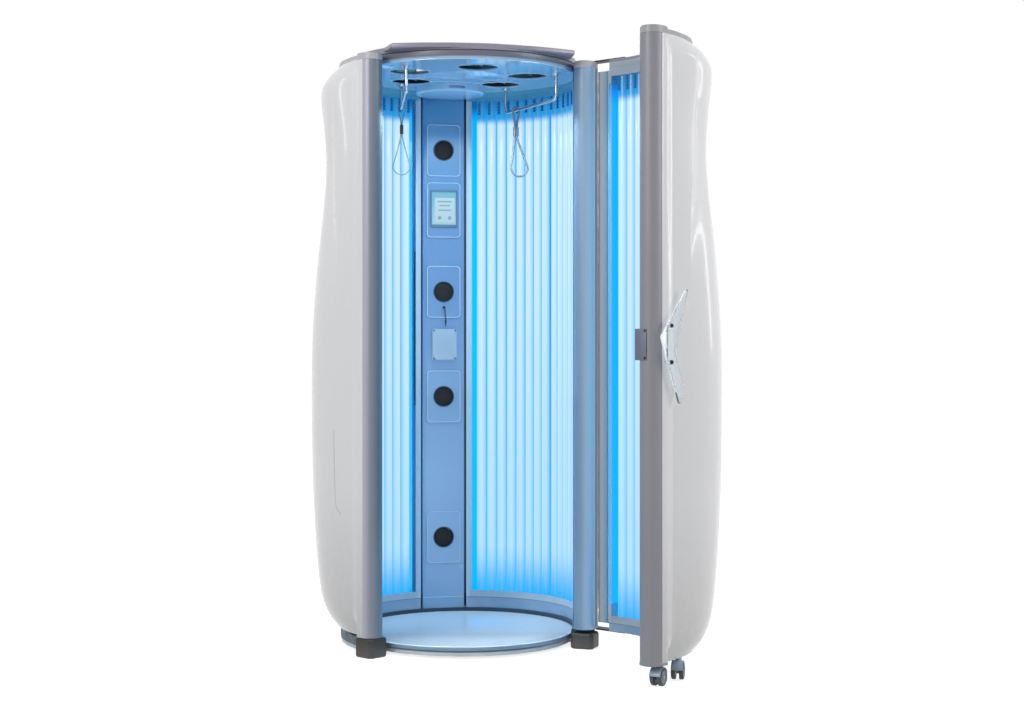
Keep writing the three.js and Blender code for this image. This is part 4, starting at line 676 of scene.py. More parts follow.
# Outer shells: flank, ridge, waist and foot flare follow the same rule as the solids, in finer steps.
STATIONS = [(70, 470), (110, 505), (190, 534), (350, 552), (600, 565), (900, 569), (1150, 566), (1400, 548),
            (1650, 521), (1780, 515), (1900, 522), (2010, 534), (2060, 528), (2100, 500), (2122, 468)]
WAIST_Z = SHELL_HIGH - 342
RIDGE_LOW, RIDGE_HIGH = 18.0, 24.0
VALLEY_DEPTH, VALLEY_FLOOR, VALLEY_END = 15.0, 6.0, 19.0
FACET_DEPTH, FACET_WIDE = 1.5, 1.6
VALLEY_RISE, VALLEY_FADE = (WAIST_Z - 620, WAIST_Z + 30), (WAIST_Z + 50, WAIST_Z + 160)
FACET_RISE, FACET_FADE = (WAIST_Z - 560, WAIST_Z - 200), (2030, 2085)
FLANK_END = 46.0
FOOT_DRAW, FOOT_TALL, TOP_DRAW, TOP_TALL = 26.0, 90.0, 18.0, 70.0


def station_radius(z):
    """Radius of the full shell at a height, on a smooth line through the stations."""
    i = 0
    while i < len(STATIONS) - 2 and z > STATIONS[i + 1][0]:
        i += 1
    before, here, after = STATIONS[max(0, i - 1)], STATIONS[i], STATIONS[min(len(STATIONS) - 1, i + 2)]
    ahead = STATIONS[i + 1]
    run = ahead[0] - here[0]
    u = (z - here[0]) / run
    a = (ahead[1] - before[1]) / (ahead[0] - before[0]) * run
    b = (after[1] - here[1]) / (after[0] - here[0]) * run
    return (here[1] * (2 * u ** 3 - 3 * u * u + 1) + a * (u ** 3 - 2 * u * u + u)
            + ahead[1] * (3 * u * u - 2 * u ** 3) + b * (u ** 3 - u * u))


def ridge_angle(z):
    return RIDGE_LOW + (RIDGE_HIGH - RIDGE_LOW) * ease(z, WAIST_Z - 420, WAIST_Z)


def edge_radius(z):
    """Radius of the shell's edge by the post, drawn in at the foot and at the top."""
    foot = FOOT_DRAW * (1 - ease(z, SHELL_LOW, SHELL_LOW + FOOT_TALL))
    return EDGE_R - foot - TOP_DRAW * ease(z, SHELL_HIGH - TOP_TALL, SHELL_HIGH)


def shell_radius(a, z, bulge):
    """Radius at an angle from the post: the flank swells to the full shell, less the valley and facet."""
    edge = edge_radius(z)
    past = a - ridge_angle(z)
    depth = VALLEY_DEPTH * ease(z, *VALLEY_RISE) * (1 - ease(z, *VALLEY_FADE))
    fall = 1 - (1 - min(1, max(0, past) / VALLEY_FLOOR)) ** 2
    valley = fall * (1 - ease(past, VALLEY_FLOOR, VALLEY_END))
    worn = FACET_DEPTH * ease(z, *FACET_RISE) * (1 - ease(z, *FACET_FADE))
    facet = min(1, max(0, past / FACET_WIDE + 1)) * (1 - ease(past, 0, VALLEY_FLOOR))
    full = station_radius(z) + bulge
    return edge + (full - edge) * ease(a, 1, FLANK_END) - depth * valley - worn * facet


def shell_heights():
    """Heights of a shell's rows, closer where it flares at the foot and turns in at the top."""
    foot, neck, shoulder = 120, 1932, 2060
    return (spread(SHELL_LOW, foot, 10) + spread(foot, neck + 0.5, 145) + spread(neck, shoulder, 16)
            + spread(shoulder, SHELL_HIGH, 14) + [SHELL_HIGH])


def flank_columns(z, inset):
    """Angles from the post over the flank, closer at the ridge and in the valley."""
    edge = math.degrees(math.asin(TAIL_END / (edge_radius(z) - inset)))
    ridge = ridge_angle(z)
    stops = ((edge, 9), (ridge - 3.2, 9), (ridge, 9), (ridge + 3, 14), (ridge + 17, 0))
    columns = []
    for (low, count), (high, _) in zip(stops, stops[1:]):
        columns += spread(low, high, count)
    return columns + [ridge + 17]


def side_columns(z, inset):
    flank = flank_columns(z, inset)
    return flank[:-1] + spread(flank[-1], SIDE_SPAN, 26) + [SIDE_SPAN]


def skin(name, columns, point):
    """A thin shell from columns of angles: outer and inner skin, closed round its edge."""
    rings = []
    for z in shell_heights():
        outer, inner = [[(*point(a, z, inset), z) for a in columns(z, inset)] for inset in (0, SKIN_T)]
        rings.append(outer + inner[::-1])
    return loft(name, rings, SHELL_WHITE)


LIP_REACH, LIP_FLAT, LIP_TALL, LIP_ROWS = 66.0, 30.4, 2043.0, 120


def fairing(name, post_at, turn, bulge, move, material):
    """Moulded lip that leads from the round of a post over its flat flank to the shell."""
    far = math.degrees(math.asin(LIP_REACH / EDGE_R))
    face = POST_R + POST_HALF

    def place(t, r, z):
        if t <= LIP_FLAT:
            return move(*rotated(r, turn * t, post_at), z)
        return move(*polar(r, post_at + turn * math.degrees(math.asin(t / EDGE_R))), z)

    rings = []
    for z in spread(SHELL_LOW, SHELL_LOW + LIP_TALL, LIP_ROWS) + [SHELL_LOW + LIP_TALL]:
        shell = shell_radius(far, z, bulge)
        under = min(face - 9, shell - 2)
        section = [(1.0, face + 0.1), (1.6, face + 1.0), (3.0, face + 1.3), (16.0, face + 1.2),
                   (30.0, face + 0.6), (LIP_REACH * 0.7, (face + shell * 2) / 3), (LIP_REACH, shell + 0.25),
                   (LIP_REACH, shell - 1.2), (44.0, under), (31.0, under), (LIP_FLAT, face - 0.1)]
        rings.append([place(t, r, z) for t, r in section])
    return loft(name, rings, material)


def add_fairings():
    for name, post_at, turn, bulge, move, body, material in (
            ("shell_lip_left", 180 + POST_AT, -1, 0, still, "cabinet", SHELL_WHITE),
            # the right lip is coloured with painted shade and lamp light
            ("shell_lip_right", -POST_AT, 1, 0, still, "cabinet", HINGE_LIP_SHADED),
            ("door_shell_lip", DOOR_POST_AT, 1, DOOR_BULGE, swung, "door", SHELL_WHITE)):
        seat(fairing(name, post_at, turn, bulge, move, material), body=body, slot="shell_white", angle=40)
    add_shell_seam()


def add_shell_seam():
    """Hairline seam low on the left shell, through points of angle and height."""
    line = ((18.7, 798), (18.7, 744), (18.6, 690), (18.4, 636), (18.2, 582), (18.0, 540), (17.0, 516),
            (14.4, 496))
    sunk, wire_r = 0.3, 0.9
    path = [(*polar(shell_radius(a, z, 0) - sunk, 180 + POST_AT - a), z) for a, z in line]
    on_cabinet(tube("shell_left_seam", smooth_path(path, 6), wire_r, 8, SEAM), "cap_grey")


def add_shells():
    for side, start, turn in (("right", -POST_AT, 1), ("left", 180 + POST_AT, -1)):
        wall = skin(f"shell_{side}_moulded", side_columns,
                    lambda a, z, inset: polar(shell_radius(a, z, 0) - inset, start + turn * a))
        seat(wall, "shell_" + side, angle=50)
    add_door_shell()
    add_back_panel()


def add_door_shell():
    """The door's shell has a flank at both ends."""
    span = DOOR_END - DOOR_POST_AT
    over = math.degrees(math.asin(TAIL_END / EDGE_R))

    def columns(z, inset):
        flank = flank_columns(z, inset)
        far = [span + over - a for a in reversed(flank)]
        far[-1] = span
        return flank[:-1] + spread(flank[-1], far[0], 8) + far

    def point(a, z, inset):
        radius = shell_radius(min(a, span + over - a), z, DOOR_BULGE) - inset
        return swung(*polar(radius, DOOR_POST_AT + a), z)[:2]

    seat(skin("door_shell_moulded", columns, point), "door_shell", angle=50)


def add_back_panel():
    """Panel behind the column, with two rows of air slots."""
    angles = spread(BACK_FROM, BACK_FROM + BACK_SPAN, 40) + [BACK_FROM + BACK_SPAN]
    back = skin("back_panel_moulded", lambda z, inset: angles,
                lambda a, z, inset: polar(station_radius(z) - inset, a))
    outline, pitch, half = soft_rect(150, 9, 4.2, 4), 26, 4.5
    heights = [row + pitch * k + half for row in (SHELL_LOW + 230, SHELL_HIGH - 560) for k in range(5)]
    slots = [front_slab("slot", outline, 0, z, 478, 618, SHELL_WHITE) for z in heights]
    seat(carve(back, *slots), "back_panel", angle=50)


# Geometry Nodes: lamps in a row, lamp clips, screws on points, holes of a round grille.
GEOMETRY, INTEGER, MATERIAL = "NodeSocketGeometry", "NodeSocketInt", "NodeSocketMaterial"


def half_of(tree, value):
    return times(tree, value, 0.5)


def shifted(tree, part, axis, by):
    offset = put(tree, "ShaderNodeCombineXYZ", {axis: by})
    return put(tree, "GeometryNodeTransform", {"Geometry": part, "Translation": offset})


def cylinder(tree, sides, radius, depth):
    return put(tree, "GeometryNodeMeshCylinder", {"Vertices": sides, "Radius": radius, "Depth": depth})


def block(tree, x, y, z):
    return put(tree, "GeometryNodeMeshCube", {"Size": put(tree, "ShaderNodeCombineXYZ", {0: x, 1: y, 2: z})})


def together(tree, *parts):
    node = put(tree, "GeometryNodeJoinGeometry", take=None)
    for part in parts:
        tree.links.new(part, node.inputs[0])
    return node.outputs[0]


def on_points(tree, points, part, **more):
    return put(tree, "GeometryNodeInstanceOnPoints", {"Points": points, "Instance": part, **more})


def attribute(tree, name, kind):
    return put(tree, "GeometryNodeInputNamedAttribute", {"Name": name}, take="Attribute", data_type=kind)


def stored(tree, part, name, value, domain):
    return put(tree, "GeometryNodeStoreNamedAttribute", {"Geometry": part, "Name": name, "Value": value},
               data_type="FLOAT", domain=domain)


def more_than(tree, first, second):
    return put(tree, "FunctionNodeCompare", {0: first, 1: second}, data_type="FLOAT",
               operation="GREATER_THAN")


def facing_turn(tree):
    """The turn that points +Z along the points' facing attribute."""
    facing = attribute(tree, "facing", "FLOAT_VECTOR")
    return put(tree, "FunctionNodeAlignRotationToVector", {"Vector": facing}, axis="Z")


def made_real(tree, part):
    return put(tree, "GeometryNodeRealizeInstances", {0: part})


def painted(tree, part, material, **more):
    return put(tree, "GeometryNodeSetMaterial", {"Geometry": part, "Material": material, **more})


def lamp_row_tree():
    """Lamps with a collar at each end. toward says how squarely a spot faces the cabin."""
    tree, given, result = group_tree(
        "lamp_row", "GeometryNodeTree",
        [("Lamp Points", GEOMETRY, None), ("Tube Diameter", FLOAT, LAMP_D * MM),
         ("Low End", FLOAT, LAMP_LOW * MM), ("High End", FLOAT, LAMP_HIGH * MM),
         ("Collar Length", FLOAT, 0.014), ("Collar Proud", FLOAT, 0.0004), ("Sides", INTEGER, 28),
         ("Tube Finish", MATERIAL, None), ("Collar Finish", MATERIAL, None)],
        [("Lamps", GEOMETRY)])
    low, high, sides = given["Low End"], given["High End"], given["Sides"]
    radius = half_of(tree, given["Tube Diameter"])
    glass = cylinder(tree, sides, radius, calc(tree, "SUBTRACT", high, low))
    glass = shifted(tree, glass, 2, half_of(tree, calc(tree, "ADD", high, low)))
    collar = cylinder(tree, sides, calc(tree, "ADD", radius, given["Collar Proud"]), given["Collar Length"])
    collar = stored(tree, collar, "collar", 1.0, "FACE")
    inset = half_of(tree, given["Collar Length"])
    ends = [shifted(tree, collar, 2, calc(tree, operation, end, inset))
            for operation, end in (("ADD", low), ("SUBTRACT", high))]
    lamps = made_real(tree, on_points(tree, given["Lamp Points"], together(tree, glass, *ends)))
    toward = put(tree, "ShaderNodeVectorMath", {0: put(tree, "GeometryNodeInputNormal"),
                                                1: attribute(tree, "inward", "FLOAT_VECTOR")},
                 take="Value", operation="DOT_PRODUCT")
    lamps = painted(tree, stored(tree, lamps, "toward", toward, "POINT"), given["Tube Finish"])
    is_collar = more_than(tree, attribute(tree, "collar", "FLOAT"), 0.5)
    tree.links.new(painted(tree, lamps, given["Collar Finish"], Selection=is_collar), result["Lamps"])
    return tree


def screw_tree():
    """Screws with a six-sided recess, turned to the points' facing."""
    tree, given, result = group_tree(
        "screw_set", "GeometryNodeTree",
        [("Screw Points", GEOMETRY, None), ("Head Diameter", FLOAT, 0.008), ("Head Height", FLOAT, 0.0025),
         ("Recess Share", FLOAT, 0.45), ("Finish", MATERIAL, None)], [("Screws", GEOMETRY)])
    radius, height = half_of(tree, given["Head Diameter"]), given["Head Height"]
    head = put(tree, "GeometryNodeMeshCone", {"Vertices": 18, "Radius Top": times(tree, radius, 0.72),
                                              "Radius Bottom": radius, "Depth": height})
    recess = cylinder(tree, 6, times(tree, radius, given["Recess Share"]), height)
    recess = shifted(tree, recess, 2, times(tree, height, 0.6))
    screw = put(tree, "GeometryNodeMeshBoolean", {"Mesh 1": head, "Mesh 2": recess}, operation="DIFFERENCE")
    screws = made_real(tree, on_points(tree, given["Screw Points"], screw, Rotation=facing_turn(tree)))
    tree.links.new(painted(tree, screws, given["Finish"]), result["Screws"])
    return tree


def grille_tree():
    """A round field of small dark discs on each centre: painted shade that stands for the holes."""
    tree, given, result = group_tree(
        "grille_holes", "GeometryNodeTree",
        [("Centres", GEOMETRY, None), ("Field Diameter", FLOAT, 0.066), ("Pitch", FLOAT, 0.0042),
         ("Hole Diameter", FLOAT, 0.0024), ("Hole Depth", FLOAT, 0.0006), ("Finish", MATERIAL, None)],
        [("Holes", GEOMETRY)])
    wide = given["Field Diameter"]
    count = calc(tree, "DIVIDE", wide, given["Pitch"])
    field = put(tree, "GeometryNodeMeshGrid", {"Size X": wide, "Size Y": wide, "Vertices X": count,
                                               "Vertices Y": count})
    reach = put(tree, "ShaderNodeVectorMath", {0: put(tree, "GeometryNodeInputPosition")}, take="Value",
                operation="LENGTH")
    outside = more_than(tree, reach, times(tree, wide, 0.49))
    field = put(tree, "GeometryNodeDeleteGeometry", {"Geometry": field, "Selection": outside})
    hole = cylinder(tree, 6, half_of(tree, given["Hole Diameter"]), given["Hole Depth"])
    upright = put(tree, "GeometryNodeTransform", {"Geometry": on_points(tree, field, hole),
                                                  "Rotation": (math.pi / 2, 0, 0)})
    holes = made_real(tree, on_points(tree, given["Centres"], upright))
    tree.links.new(painted(tree, holes, given["Finish"]), result["Holes"])
    return tree


def clip_tree():
    """Lamp clips: a row of teeth on a thin spine."""
    tree, given, result = group_tree(
        "lamp_clips", "GeometryNodeTree",
        [("Clip Points", GEOMETRY, None), ("Width", FLOAT, 0.012), ("Depth", FLOAT, 0.005),
         ("Tooth Height", FLOAT, 0.007), ("Tooth Pitch", FLOAT, 0.012), ("Teeth", INTEGER, 4),
         ("Finish", MATERIAL, None)], [("Clips", GEOMETRY)])
    wide, deep, pitch = given["Width"], given["Depth"], given["Tooth Pitch"]
    tooth = block(tree, wide, given["Tooth Height"], deep)
    step = put(tree, "ShaderNodeCombineXYZ", {1: pitch})
    line = put(tree, "GeometryNodeMeshLine", {"Count": given["Teeth"], "Offset": step})
    length = times(tree, pitch, given["Teeth"])
    spine = block(tree, times(tree, wide, 0.4), length, half_of(tree, deep))
    spine = shifted(tree, spine, 1, half_of(tree, length))
    clip = together(tree, on_points(tree, line, tooth), spine)
    upright = put(tree, "FunctionNodeAlignRotationToVector",
                  {"Rotation": facing_turn(tree), "Vector": (0, 0, 1)}, axis="Y", pivot_axis="Z")
    clips = made_real(tree, on_points(tree, given["Clip Points"], clip, Rotation=upright))
    tree.links.new(painted(tree, clips, given["Finish"]), result["Clips"])
    return tree


LAMP_ROW = lamp_row_tree()
LAMP_CLIPS = clip_tree()
SCREW_SET = screw_tree()
GRILLE = grille_tree()


def grown(name, tree, points, held=None, **values):
    """Runs a tree on points and keeps the mesh. held is an attribute's name and a vector for each point."""
    ob = mesh_object(name, points, [])
    if held:
        layer = ob.data.attributes.new(held[0], "FLOAT_VECTOR", "POINT")
        layer.data.foreach_set("vector", [c for v in held[1] for c in v])
    mod = ob.modifiers.new("grow", "NODES")
    mod.node_group = tree
    for item in tree.interface.items_tree:
        if item.in_out == "INPUT" and item.name.replace(" ", "_") in values:
            mod[item.identifier] = values[item.name.replace(" ", "_")]
    return bake(ob)


def add_screws(name, points, facings, body, material, slot, diameter, height):
    screws = grown(name, SCREW_SET, points, ("facing", facings), Head_Diameter=diameter * MM,
                   Head_Height=height * MM, Finish=material)
    return seat(screws, body=body, slot=slot, angle=40)


# Lamp walls: tubes, clips and lampholder rails.
def add_lamps():
    for node, angles, carry, rail, low in (("lamp_bank_right", WALL_LAMPS, still, WALL_RAIL, 80.0),
                                           ("lamp_bank_left", WALL_LAMPS, mirrored, WALL_RAIL, 80.0),
                                           ("door_lamp_bank", DOOR_LAMPS, swung, DOOR_RAIL, 78.3)):
        points, inward = inward_points(angles, LAMP_R, 0, carry)
        seat(grown(node + "_tubes", LAMP_ROW, points, ("inward", inward), Tube_Finish=LAMP_TUBE,
                   Collar_Finish=COLLAR_METAL), node)
        points, inward = inward_points([a + 0.9 for a in angles], LAMP_R - LAMP_D / 2 - 0.6, CLIP_Z, carry)
        clips = grown(node + "_clips", LAMP_CLIPS, points, ("facing", inward), Finish=CLIP_BLUE)
        seat(clips, body=BODY_OF[node], slot=SLOT_OF[node])
        for end, z0, z1 in (("low", low, LAMP_LOW), ("high", LAMP_HIGH, RAIL_TOP)):
            bar = arc_slab(f"{node}_rail_{end}", RAIL_IN, RAIL_OUT, *rail, z0, z1, RAIL_WHITE, carry)
            seat(rounded(bar, 0.8), body=BODY_OF[node], slot=SLOT_OF[node])


def inward_points(angles, radius, z, carry):
    """Points on an arc, carried to their place, and for each the way to the cabin's middle."""
    points = [carry(*polar(radius, a), z) for a in angles]
    return points, [way(p, carry(*polar(radius - 1, a), z)) for p, a in zip(points, angles)]


# Column: pads, speakers, display, pocket and audio lead.
def add_column():
    solid_copy("column", COLUMN_BLUE_SHADED, 0.8)
    rim_wide, speaker_rim, display_rim, corner = 131.5, 202.5, 215.5, 13.5
    for z, tall in [(z, speaker_rim) for z in SPEAKERS] + [(DISPLAY_Z - 5, display_rim)]:
        loop = [(u, PAD_FRONT - 0.2, z + v) for u, v in soft_rect(rim_wide, tall, corner, 8)]
        on_cabinet(tube(f"pad_rim_{int(z)}", loop, 1.6, 8, PAD_RIM, closed=True), "column_panel")
    half, foot_z = 81.5, (99.5, 103.0)
    foot = box("column_foot_line", -half, half, COLUMN_Y - 1, COLUMN_Y + 1, *foot_z, PAD_RIM)
    on_cabinet(rounded(foot, 0.6), "column_panel")
    # Dark strips behind the column's two side seams: painted shade seen through the gaps.
    shade_strip_wide, shade_strip_y, strip_z = 22.0, (438.0, 441.0), (60.0, 2106.0)
    for side, x in (("left", -104.0), ("right", 82.0)):
        strip = box("column_seal_" + side, x, x + shade_strip_wide, *shade_strip_y, *strip_z, SEAM_SHADE)
        on_cabinet(rounded(strip, 0.8), "lead_rubber")
    for number, z in enumerate(SPEAKERS, 1):
        add_speaker(number, z)
    holes = grown("speaker_grille_holes", GRILLE, [(0, PAD_FRONT - 0.1, z) for z in SPEAKERS],
                  Finish=GRILLE_HOLE, Field_Diameter=0.056, Pitch=0.0043, Hole_Diameter=0.0026,
                  Hole_Depth=0.0008)
    on_cabinet(holes, "speaker_black")
    add_display()
    pocket = solid_copy("phone_pocket", POCKET_CLEAR, 0.9, 3)
    pocket.name = "phone_pocket_clear"
    corners = [(x, 383.6, z) for x in (-43, 43) for z in (1050, 1161)]
    add_screws("pocket_studs", corners, [(0, -1, 0)] * 4, "cabinet", SCREW_BLACK, "speaker_black", 7.0, 2.2)
    add_lead()
    solid_copy("control_box", DARK_STEEL, 2.0)


def add_speaker(number, z):
    """Domed cloth cap in a ring."""
    def place(x, y, d):
        return x, PAD_FRONT + d, z + y

    dome = [(0, 0), (14, 0.2), (28, 1.4), (34, 3.4), (36.4, 5.2), (36.4, 8.2), (0, 8.2)]
    seat(lathe(f"speaker_{number}_cap", dome, 48, SPEAKER, move=place), f"speaker_{number}", angle=40)
    ring = [(36.6, -0.3), (38.2, -2.4), (40.6, -2.5), (41.6, -1.2), (41.6, -0.3), (38.3, -0.3), (38.3, 7.5),
            (36.6, 7.5)]
    edge = lathe(f"speaker_{number}_ring", ring, 48, SPEAKER_RING, closed=True, move=place)
    on_cabinet(edge, "speaker_black", 40)


def add_display():
    """Screen in its bezel, with plain fields, bars and two round marks."""
    solid_copy("display", BEZEL, 1.6, 3)
    face = PAD_FRONT - SEAT_GAP - DISPLAY_T
    for name, outline, x, dz, front, back, material in (
            ("screen", soft_rect(96, 128, 3), 0, 1, 0.25, 0.4, SCREEN),
            ("panel", soft_rect(80, 98, 4), 3, -6, 0.5, 0, PANEL),
            ("band", soft_rect(86, 9, 2), 0, 54, 0.5, 0, KEY),
            ("bar_1", soft_rect(58, 5, 1.5), 3, 28, 0.8, -0.3, MARK),
            ("bar_2", soft_rect(44, 5, 1.5), 3, 12, 0.8, -0.3, MARK),
            ("bar_3", soft_rect(52, 5, 1.5), 3, -6, 0.8, -0.3, MARK)):
        field = front_slab("display_" + name, outline, x, DISPLAY_Z + dz, face - front, face + back, material)
        on_cabinet(field, "display_glass")
    disc = [(0, -1.0), (6.6, -1.0), (7.6, -0.5), (7.6, 0.4), (0, 0.4)]
    for side, at in (("left", -17), ("right", 23)):
        key = lathe("display_key_" + side, disc, 28, MARK,
                    move=lambda x, y, d: (at + x, face + d, DISPLAY_Z - 36 + y))
        on_cabinet(key, "display_glass")


def add_lead():
    """Short audio lead from the jack in the column to its loose plug."""
    far, low = (3.0, JACK_Y - 9), 1176.0
    route = smooth_path([(0, JACK_Y + 3, 1253), (0, JACK_Y - 3, 1252), (0, JACK_Y - 8, 1244),
                         (0.5, far[1], 1231), (2, far[1], 1217), (far[0], far[1], low + 25)], 6)
    data = bpy.data.curves.new("audio_lead_line", "CURVE")
    data.dimensions = "3D"
    data.bevel_depth = 0.002
    data.bevel_resolution = 3
    line = data.splines.new("POLY")
    line.points.add(len(route) - 1)
    for p, q in zip(line.points, route):
        p.co = (q[0] * MM, q[1] * MM, q[2] * MM, 1)
    data.materials.append(LEAD)
    lead = bpy.data.objects.new("audio_lead_line", data)
    scene.collection.objects.link(lead)
    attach(lead, "cabinet")
    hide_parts("audio_lead")
    boot = [(0, 0), (2.6, 0), (3.2, 3), (4.5, 5), (4.5, 15.5), (3.8, 18), (0, 18)]
    jack = lathe("audio_plug_column", boot, 24, LEAD, move=lambda x, y, d: (x, JACK_Y + d, JACK_Z + y))
    on_cabinet(jack, "lead_rubber")
    pin = [(0, 0), (1.7, 0.6), (1.7, 12), (3.5, 12.6), (3.5, 24), (2.4, 28), (0, 28)]
    plug = lathe("audio_plug_loose", [(r, low + d) for r, d in pin], 24, LEAD, centre=far)
    on_cabinet(plug, "lead_rubber")


# Roof: ceiling, air outlet, fascia, fans and cover.
def add_roof():
    fans = [polar(FAN_RING, a) for a in FAN_AT]
    add_ceiling(fans)
    add_air_outlet()
    add_fascia()
    add_brow()
    edge = ((0.2, 1.0), (0.2, -1.4), (1.7, -2.0), (4.9, -1.4), (5.7, -0.2), (2.5, -0.1), (2.1, 1.0))
    rim = [(FAN_D / 2 + r, CEILING_Z + z) for r, z in edge]
    for number, p in enumerate(fans, 1):
        on_cabinet(lathe(f"fan_rim_{number}", rim, 48, FAN_RIM, centre=p, closed=True), "column_panel")
    solid_copy("fan_tray", TRAY_TEAL, 0.5, 1)
    add_roof_cover(fans)
    for number, p in enumerate(fans, 1):
        add_rotor(number, p)


def add_roof_cover(fans):
    """Sheet over the fans with an air hole above each, held by twelve screws."""
    holes = [ring_points(COVER_HOLE_R, 40, p) for p in fans]
    cover = plate("roof_cover_sheet", ring_points(COVER_R, 120), holes, COVER_LOW, COVER_HIGH, CAP_GREY)
    seat(rounded(cover, 0.6), "roof_cover", angle=20)
    spots = [(*polar(COVER_SCREW_R, 15 + 30 * k), COVER_HIGH + 0.9) for k in range(12)]
    add_screws("roof_cover_screws", spots, [(0, 0, 1)] * 12, "cabinet", SCREW_STEEL, "cap_grey", 9, 2)


def add_ceiling(fans):
    """Round sheet with a hole for each fan, set back where the door passes."""
    wide, narrow, front = 421.0, 414.0, 29.3
    outer = [polar(wide if a <= 180 + front or a >= 360 - front else narrow, a) for a in spread(0, 360, 144)]
    holes = [ring_points(FAN_D / 2, 48, p) for p in fans]
    ceiling = plate("ceiling_panel", outer, holes, CEILING_Z, CEILING_Z + CEILING_T, CEILING_GLOSS)
    seat(rounded(ceiling, 0.8), "ceiling", angle=20)


def add_air_outlet():
    """Drum under the ceiling with a round lower edge and one slot."""
    top, edge = CEILING_Z - SEAT_GAP, 9.0
    low = top - OUTLET_T
    curve = []
    for k in range(7):
        dx, dz = polar(edge, 15 * k - 90)
        curve.append((OUTLET_R - edge + dx, low + edge + dz))
    drum = lathe("air_outlet_drum", [(0, low)] + curve + [(OUTLET_R, top), (0, top)], 96, CEILING_GLOSS,
                 centre=(0, OUTLET_Y))
    front, z = OUTLET_Y - OUTLET_R, top - OUTLET_T / 2
    carve(drum, box("slot", -31, 31, front - 5, front + 16, z - 5, z + 5, CEILING_GLOSS))
    seat(drum, "air_outlet")


def add_fascia():
    """Two-step ring round the roof's edge."""
    band, low, mid, high = CABIN_R - 1, FASCIA_LOW, FASCIA_MID, FASCIA_HIGH
    inner, recess, seat_z, recess_z = 384.0, 396.3, CEILING_Z + CEILING_T + SEAT_GAP, 2152.7
    ring = [(inner, seat_z), (band - 5, seat_z), (band - 3, low), (band - 0.6, low + 0.8), (band, low + 2.4),
            (band, mid - 2.4), (band - 1, mid - 1), (band - 4, mid), (band + 0.8, mid + 1),
            (band + 2, mid + 2.4), (band + 2, high - 5), (band + 1.2, high - 2.4), (band - 0.8, high - 0.7),
            (band - 3, high), (recess, high), (recess, recess_z), (inner, recess_z)]
    seat(lathe("fascia_ring", ring, 160, FASCIA, closed=True), "fascia", angle=28)


def add_brow():
    """Brow of the roof: flatter than the ring, it reaches out to both front corners."""
    half, side, front = 333.0, -346.0, -417.5
    end, inner_r, inner_at, low, high = (345.0, -238.0), 408.0, 34.6, 2147.0, 2164.6
    outline = [(-end[0], end[1]), (-half - 3, side + 24)]
    for x in spread(-half, half, 24) + [half]:
        outline.append((x, front + (side - front) * (x / half) ** 2))
    outline += [(half + 3, side + 24), end]
    outline += [polar(inner_r, a) for a in spread(-inner_at, inner_at - 180, 40) + [inner_at - 180]]
    brow = plate("roof_brow", outline, [], low, high, FASCIA)
    on_cabinet(rounded(brow, 4.5, 4, 25), "fascia_silver")


def add_rotor(number, centre):
    """Five cambered blades on a hub."""
    along, over = 8, 4
    root_r, middle_z, flatten, camber, skew = 20.0, ROTOR_TOP - 8.4, 0.62, 2.2, 2.5
    verts, faces = [], []
    for blade in range(5):
        base = len(verts)
        for i in range(along + 1):
            reach = i / along
            wide = 12 + 5.5 * math.sin(math.pi * (0.15 + 0.75 * reach))
            run, rise = polar(wide, 34 - 14 * reach)
            for j in range(over + 1):
                t = 2 * j / over - 1
                u = t * run + skew * reach ** 2
                h = t * rise * flatten + camber * (1 - t * t)
                x, y = rotated(root_r + (ROTOR_R - root_r) * reach, u, blade * 72)
                verts.append((centre[0] + x, centre[1] + y, middle_z + h))
        for i in range(along):
            for j in range(over):
                a = base + i * (over + 1) + j
                faces.append((a, a + 1, a + over + 2, a + over + 1))
    blades = mesh_object(f"fan_rotor_{number}_blades", verts, faces, ROTOR)
    wall = blades.modifiers.new("thick", "SOLIDIFY")
    wall.thickness = 1.6 * MM
    wall.offset = 0
    seat(bake(blades), f"fan_rotor_{number}", angle=40)
    hub = [(0, -14), (17, -13.6), (21.6, -11.4), (HUB_R, -8), (HUB_R, 0), (0, 0)]
    boss = lathe(f"fan_rotor_{number}_hub", [(r, ROTOR_TOP + z) for r, z in hub], 32, ROTOR, centre=centre)
    seat(boss, body=BODY_OF[f"fan_rotor_{number}"], slot="rotor_plastic")


# Base: frame, feet, platform, and the sheets that stand on it.
def add_base():
    solid_copy("base_frame", BASE_TEAL, 0.6, 1)
    for side in ("right", "left"):
        solid_copy("foot_front_" + side, FOOT_BLACK, 3.0, 3)
    for side in ("right", "left"):
        solid_copy("foot_rear_" + side, FOOT_BLACK, 1.5, 2)
    r, low, high = PLATFORM_R, PLATFORM_LOW, PLATFORM_HIGH
    profile = [(0, low), (r - 4, low), (r - 1, low + 1), (r, low + 3), (r, high - 4), (r - 1, high - 1),
               (r - 3.4, high), (r - 6, high), (r - 7.4, high - 0.7), (0, high - 0.7)]
    seat(lathe("platform_disc", profile, 180, PLATFORM), "platform", angle=28)
    for side in ("left", "right"):
        solid_copy("surround_" + side, SHEET_GREY, 0.5, 1)
        solid_copy("reflector_" + side, REFLECTOR, 0)


# Posts, cap and hinge pins.
def add_frame():
    solid_copy("post_left", POST_ALU, 4.0, 4)
    solid_copy("post_right", HINGE_POST_LAMP_LIT, 4.0, 4)
    solid_copy("wall_cap", WALL_CAP, 2.0, 3)
    solid_copy("hinge_pin_top", CHROME, 0.8)
    solid_copy("hinge_pin_bottom", CHROME, 0.8)


# Hand holds: the bars' front and rear ends, and the straps' place on the bar, wire, half width and lean.
BARS = {"right": ((310, -169), (216, 246), 0.785, 8.5, 36.0, 14.0, WIRE, CRIMP_STEEL),
        "left": ((-258, -214), (-201, 229), 0.92, 4.2, 33.0, 0.0, WIRE_THIN, CRIMP_BLACK)}
UP = Vector((0, 0, 1))


